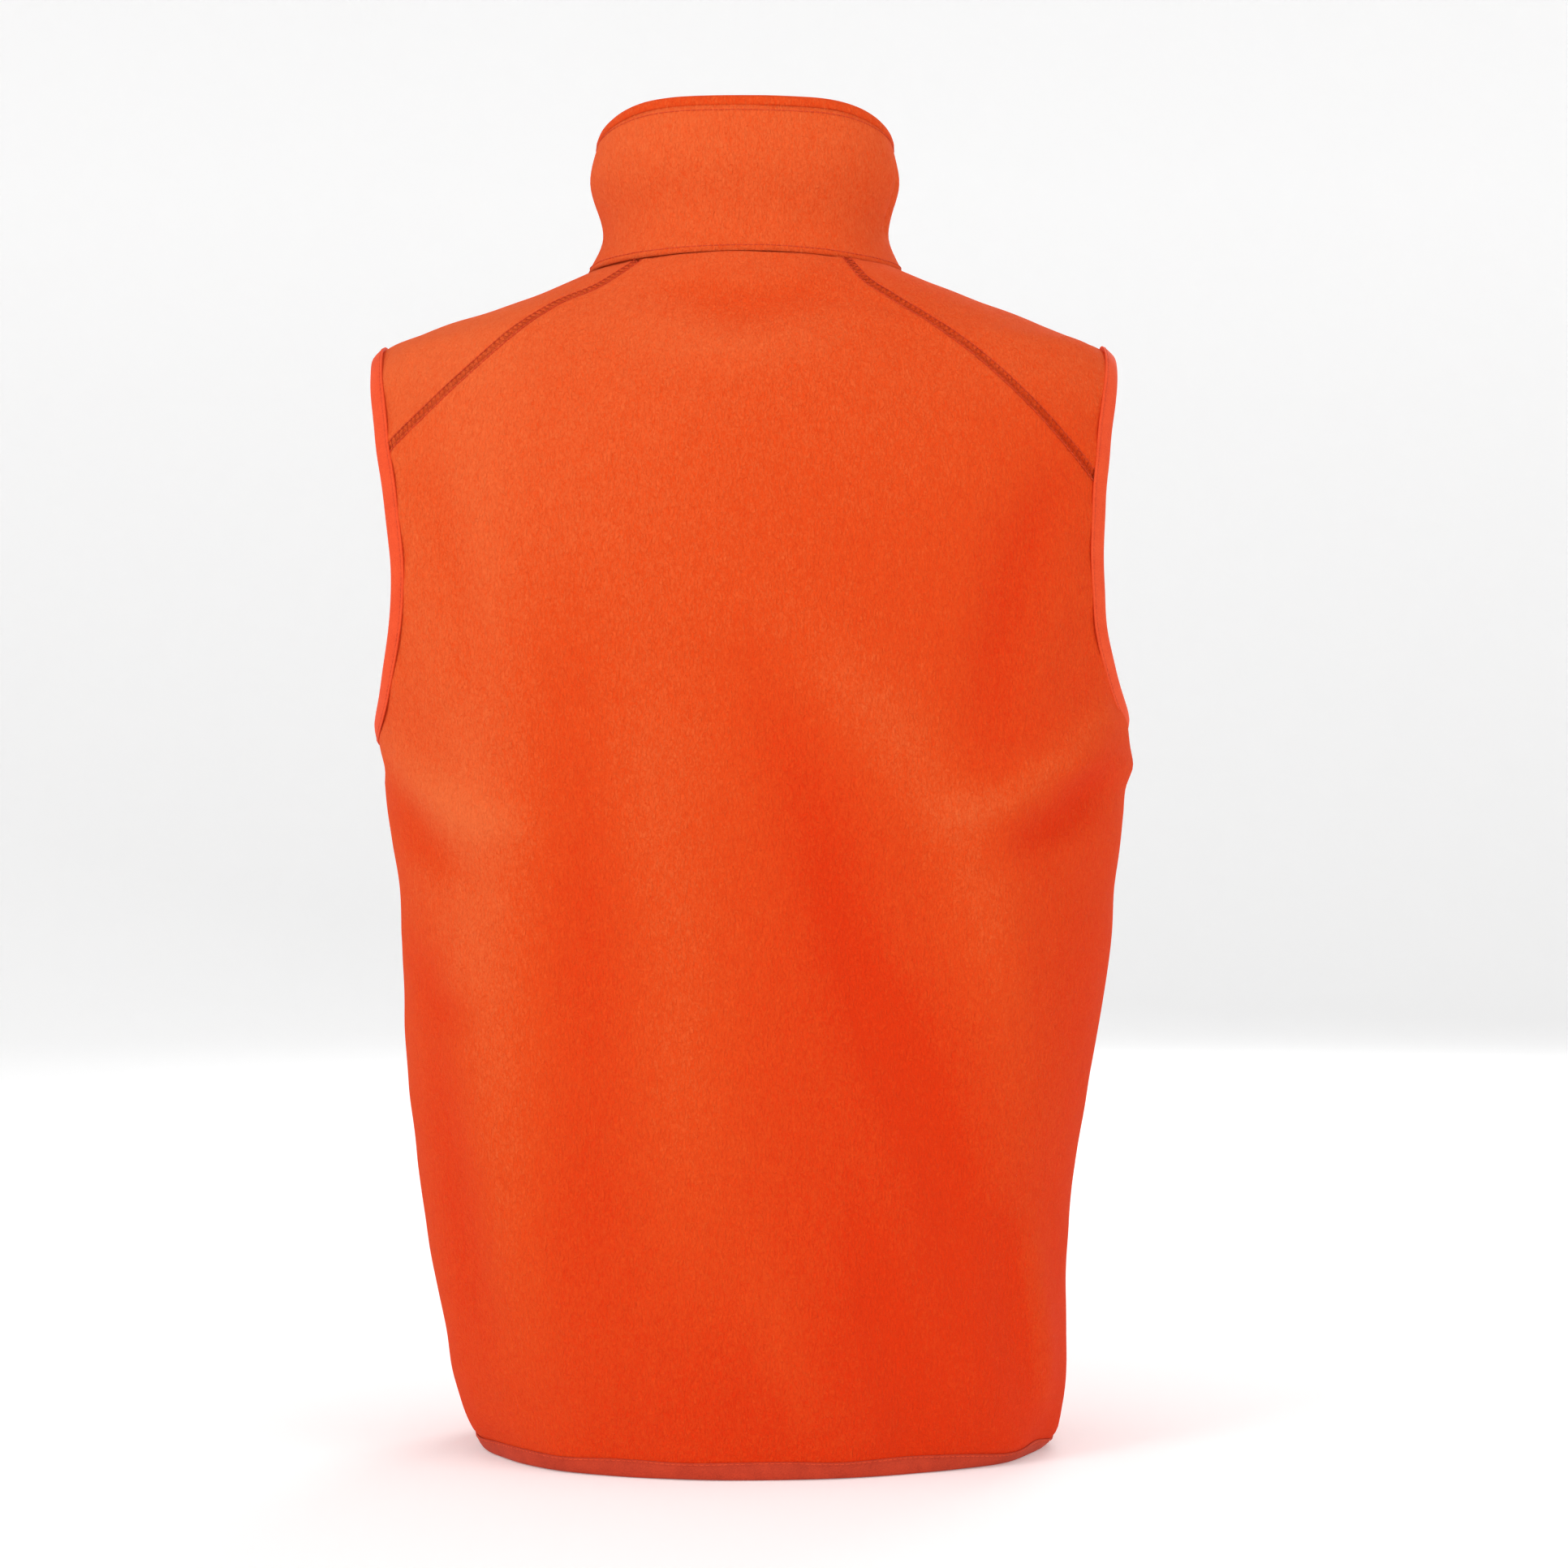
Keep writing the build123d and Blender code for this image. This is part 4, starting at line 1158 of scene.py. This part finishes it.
# ---- zips, pockets, tape and labels in place -----------------------------------------------------
pieces.update(build_main_zip())
for side in SIGN:
    pieces.update(build_pocket(side))
pieces["neck_tape"] = build_neck_tape()
pieces["hanger_loop"] = build_hanger_loop()
pieces["neck_label"] = label(
    "neck_label_satin", (20, 65.3, 655.5), (-1, 0, 0), (0, 0, 1), (0, -1, 0), (40, 22.5), 1.6, LABEL
)
pieces["care_label"] = label(
    "care_label_satin", (171.9, -12, 160), (0, 1, 0), (0, 0, 1), (-1, 0, 0), (34, 48), 4.0, LABEL
)

for node_name, finish in (
    ("zip_top_stop_left", PLASTIC), ("zip_top_stop_right", PLASTIC), ("zip_insertion_pin", PLASTIC),
    ("zip_retainer_box", PLASTIC), ("zip_slider", ENAMEL), ("zip_pull", ENAMEL),
    *((f"pocket_{side}_{part}", PLASTIC) for side in SIGN for part in ("zip_stop_bottom", "zip_stop_top")),
    *((f"pocket_{side}_{part}", ENAMEL) for side in SIGN for part in ("slider", "pull")),
):
    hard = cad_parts[node_name]
    hard.data.materials.clear()
    hard.data.materials.append(finish)


# ---- topstitching --------------------------------------------------------------------------------
def build_topstitching():
    """Rows beside the front zip, below and above the neck seam, and along the collar's turned edge."""
    rows = []
    for sign in SIGN.values():
        for girths, low, high in (
            (body, HEM_T + HEM_BINDING + 1, body.top - 1),
            (collar, 1.5, collar.top - COLLAR_EDGE),
        ):
            t = np.linspace(low, high, 240)
            rows.append(on_cloth(girths, girths.phi_at(t, sign * (ZIP_GAP + 3.0)), t))
    stitches("front_edge_stitches", rows, THREADS)
    phi = round_span(collar, 2.5, ZIP_GAP + 4, 500)
    stitches("neck_seam_stitches", [on_cloth(collar, phi, 3.2)], THREADS)
    stitches("collar_edge_stitches", [on_cloth(collar, phi, collar.top - COLLAR_EDGE - 1.6)], THREADS)


build_topstitching()


# ---- stage, light, camera ------------------------------------------------------------------------
def build_stage():
    """A pale floor that curves up into a wall all round."""
    flat, bend, wall, turns = 3.6, 1.4, 5.0, 96
    profile = [(0, 0), (flat, 0)]
    for a in np.linspace(0.1, math.pi / 2, 12):
        profile.append((flat + bend * math.sin(a), bend - bend * math.cos(a)))
    profile.append((flat + bend, wall))
    angles = [2 * math.pi * k / turns for k in range(turns)]
    verts = [(r * math.cos(a), r * math.sin(a), z) for r, z in profile for a in angles]
    faces = tube_faces(len(profile), turns)[:-2]
    data = bpy.data.meshes.new("floor")
    data.from_pydata(verts, [], faces)
    data.polygons.foreach_set("use_smooth", [True] * len(data.polygons))
    floor = bpy.data.objects.new("floor", data)
    bpy.context.collection.objects.link(floor)
    paper = Nodes("paper")
    paper.set(Roughness=0.9, Specular_IOR_Level=0.1, Base_Color=(0.93, 0.93, 0.93, 1))
    paper.set(Emission_Color=(1, 1, 1, 1), Emission_Strength=0.18)
    data.materials.append(paper.material)


def lamp(name, place, aim, size, power, colour=(1, 1, 1)):
    light = bpy.data.lights.new(name, "AREA")
    light.shape = "DISK"
    light.size, light.energy, light.color = size, power, colour
    obj = bpy.data.objects.new(name, light)
    obj.location = place
    obj.rotation_euler = (Vector(aim) - Vector(place)).to_track_quat("-Z", "Y").to_euler()
    bpy.context.collection.objects.link(obj)


def build_light():
    world = bpy.data.worlds.new("studio")
    world.use_nodes = True
    world.node_tree.nodes["Background"].inputs["Color"].default_value = (1, 1, 1, 1)
    world.node_tree.nodes["Background"].inputs["Strength"].default_value = 0.33
    bpy.context.scene.world = world
    bpy.context.scene.view_settings.view_transform = "Standard"
    middle = (0, 0, 0.4)
    lamp("key", (2.0, 2.1, 2.0), middle, 1.3, 29)
    lamp("fill", (-2.3, 2.0, 1.6), middle, 2.0, 14)
    lamp("front", (-0.9, -2.7, 1.9), middle, 1.6, 32)
    lamp("top", (0.0, 0.5, 2.9), middle, 1.5, 13)


def build_camera():
    data = bpy.data.cameras.new("camera")
    data.sensor_width, data.lens = 36, 94.3
    camera = bpy.data.objects.new("camera", data)
    camera.location = (-0.0218, 2.3, 0.368)
    camera.rotation_euler = (math.radians(90), 0, math.radians(180))
    bpy.context.collection.objects.link(camera)
    bpy.context.scene.camera = camera


build_stage()
build_light()
build_camera()

for node, piece in pieces.items():
    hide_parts(node)
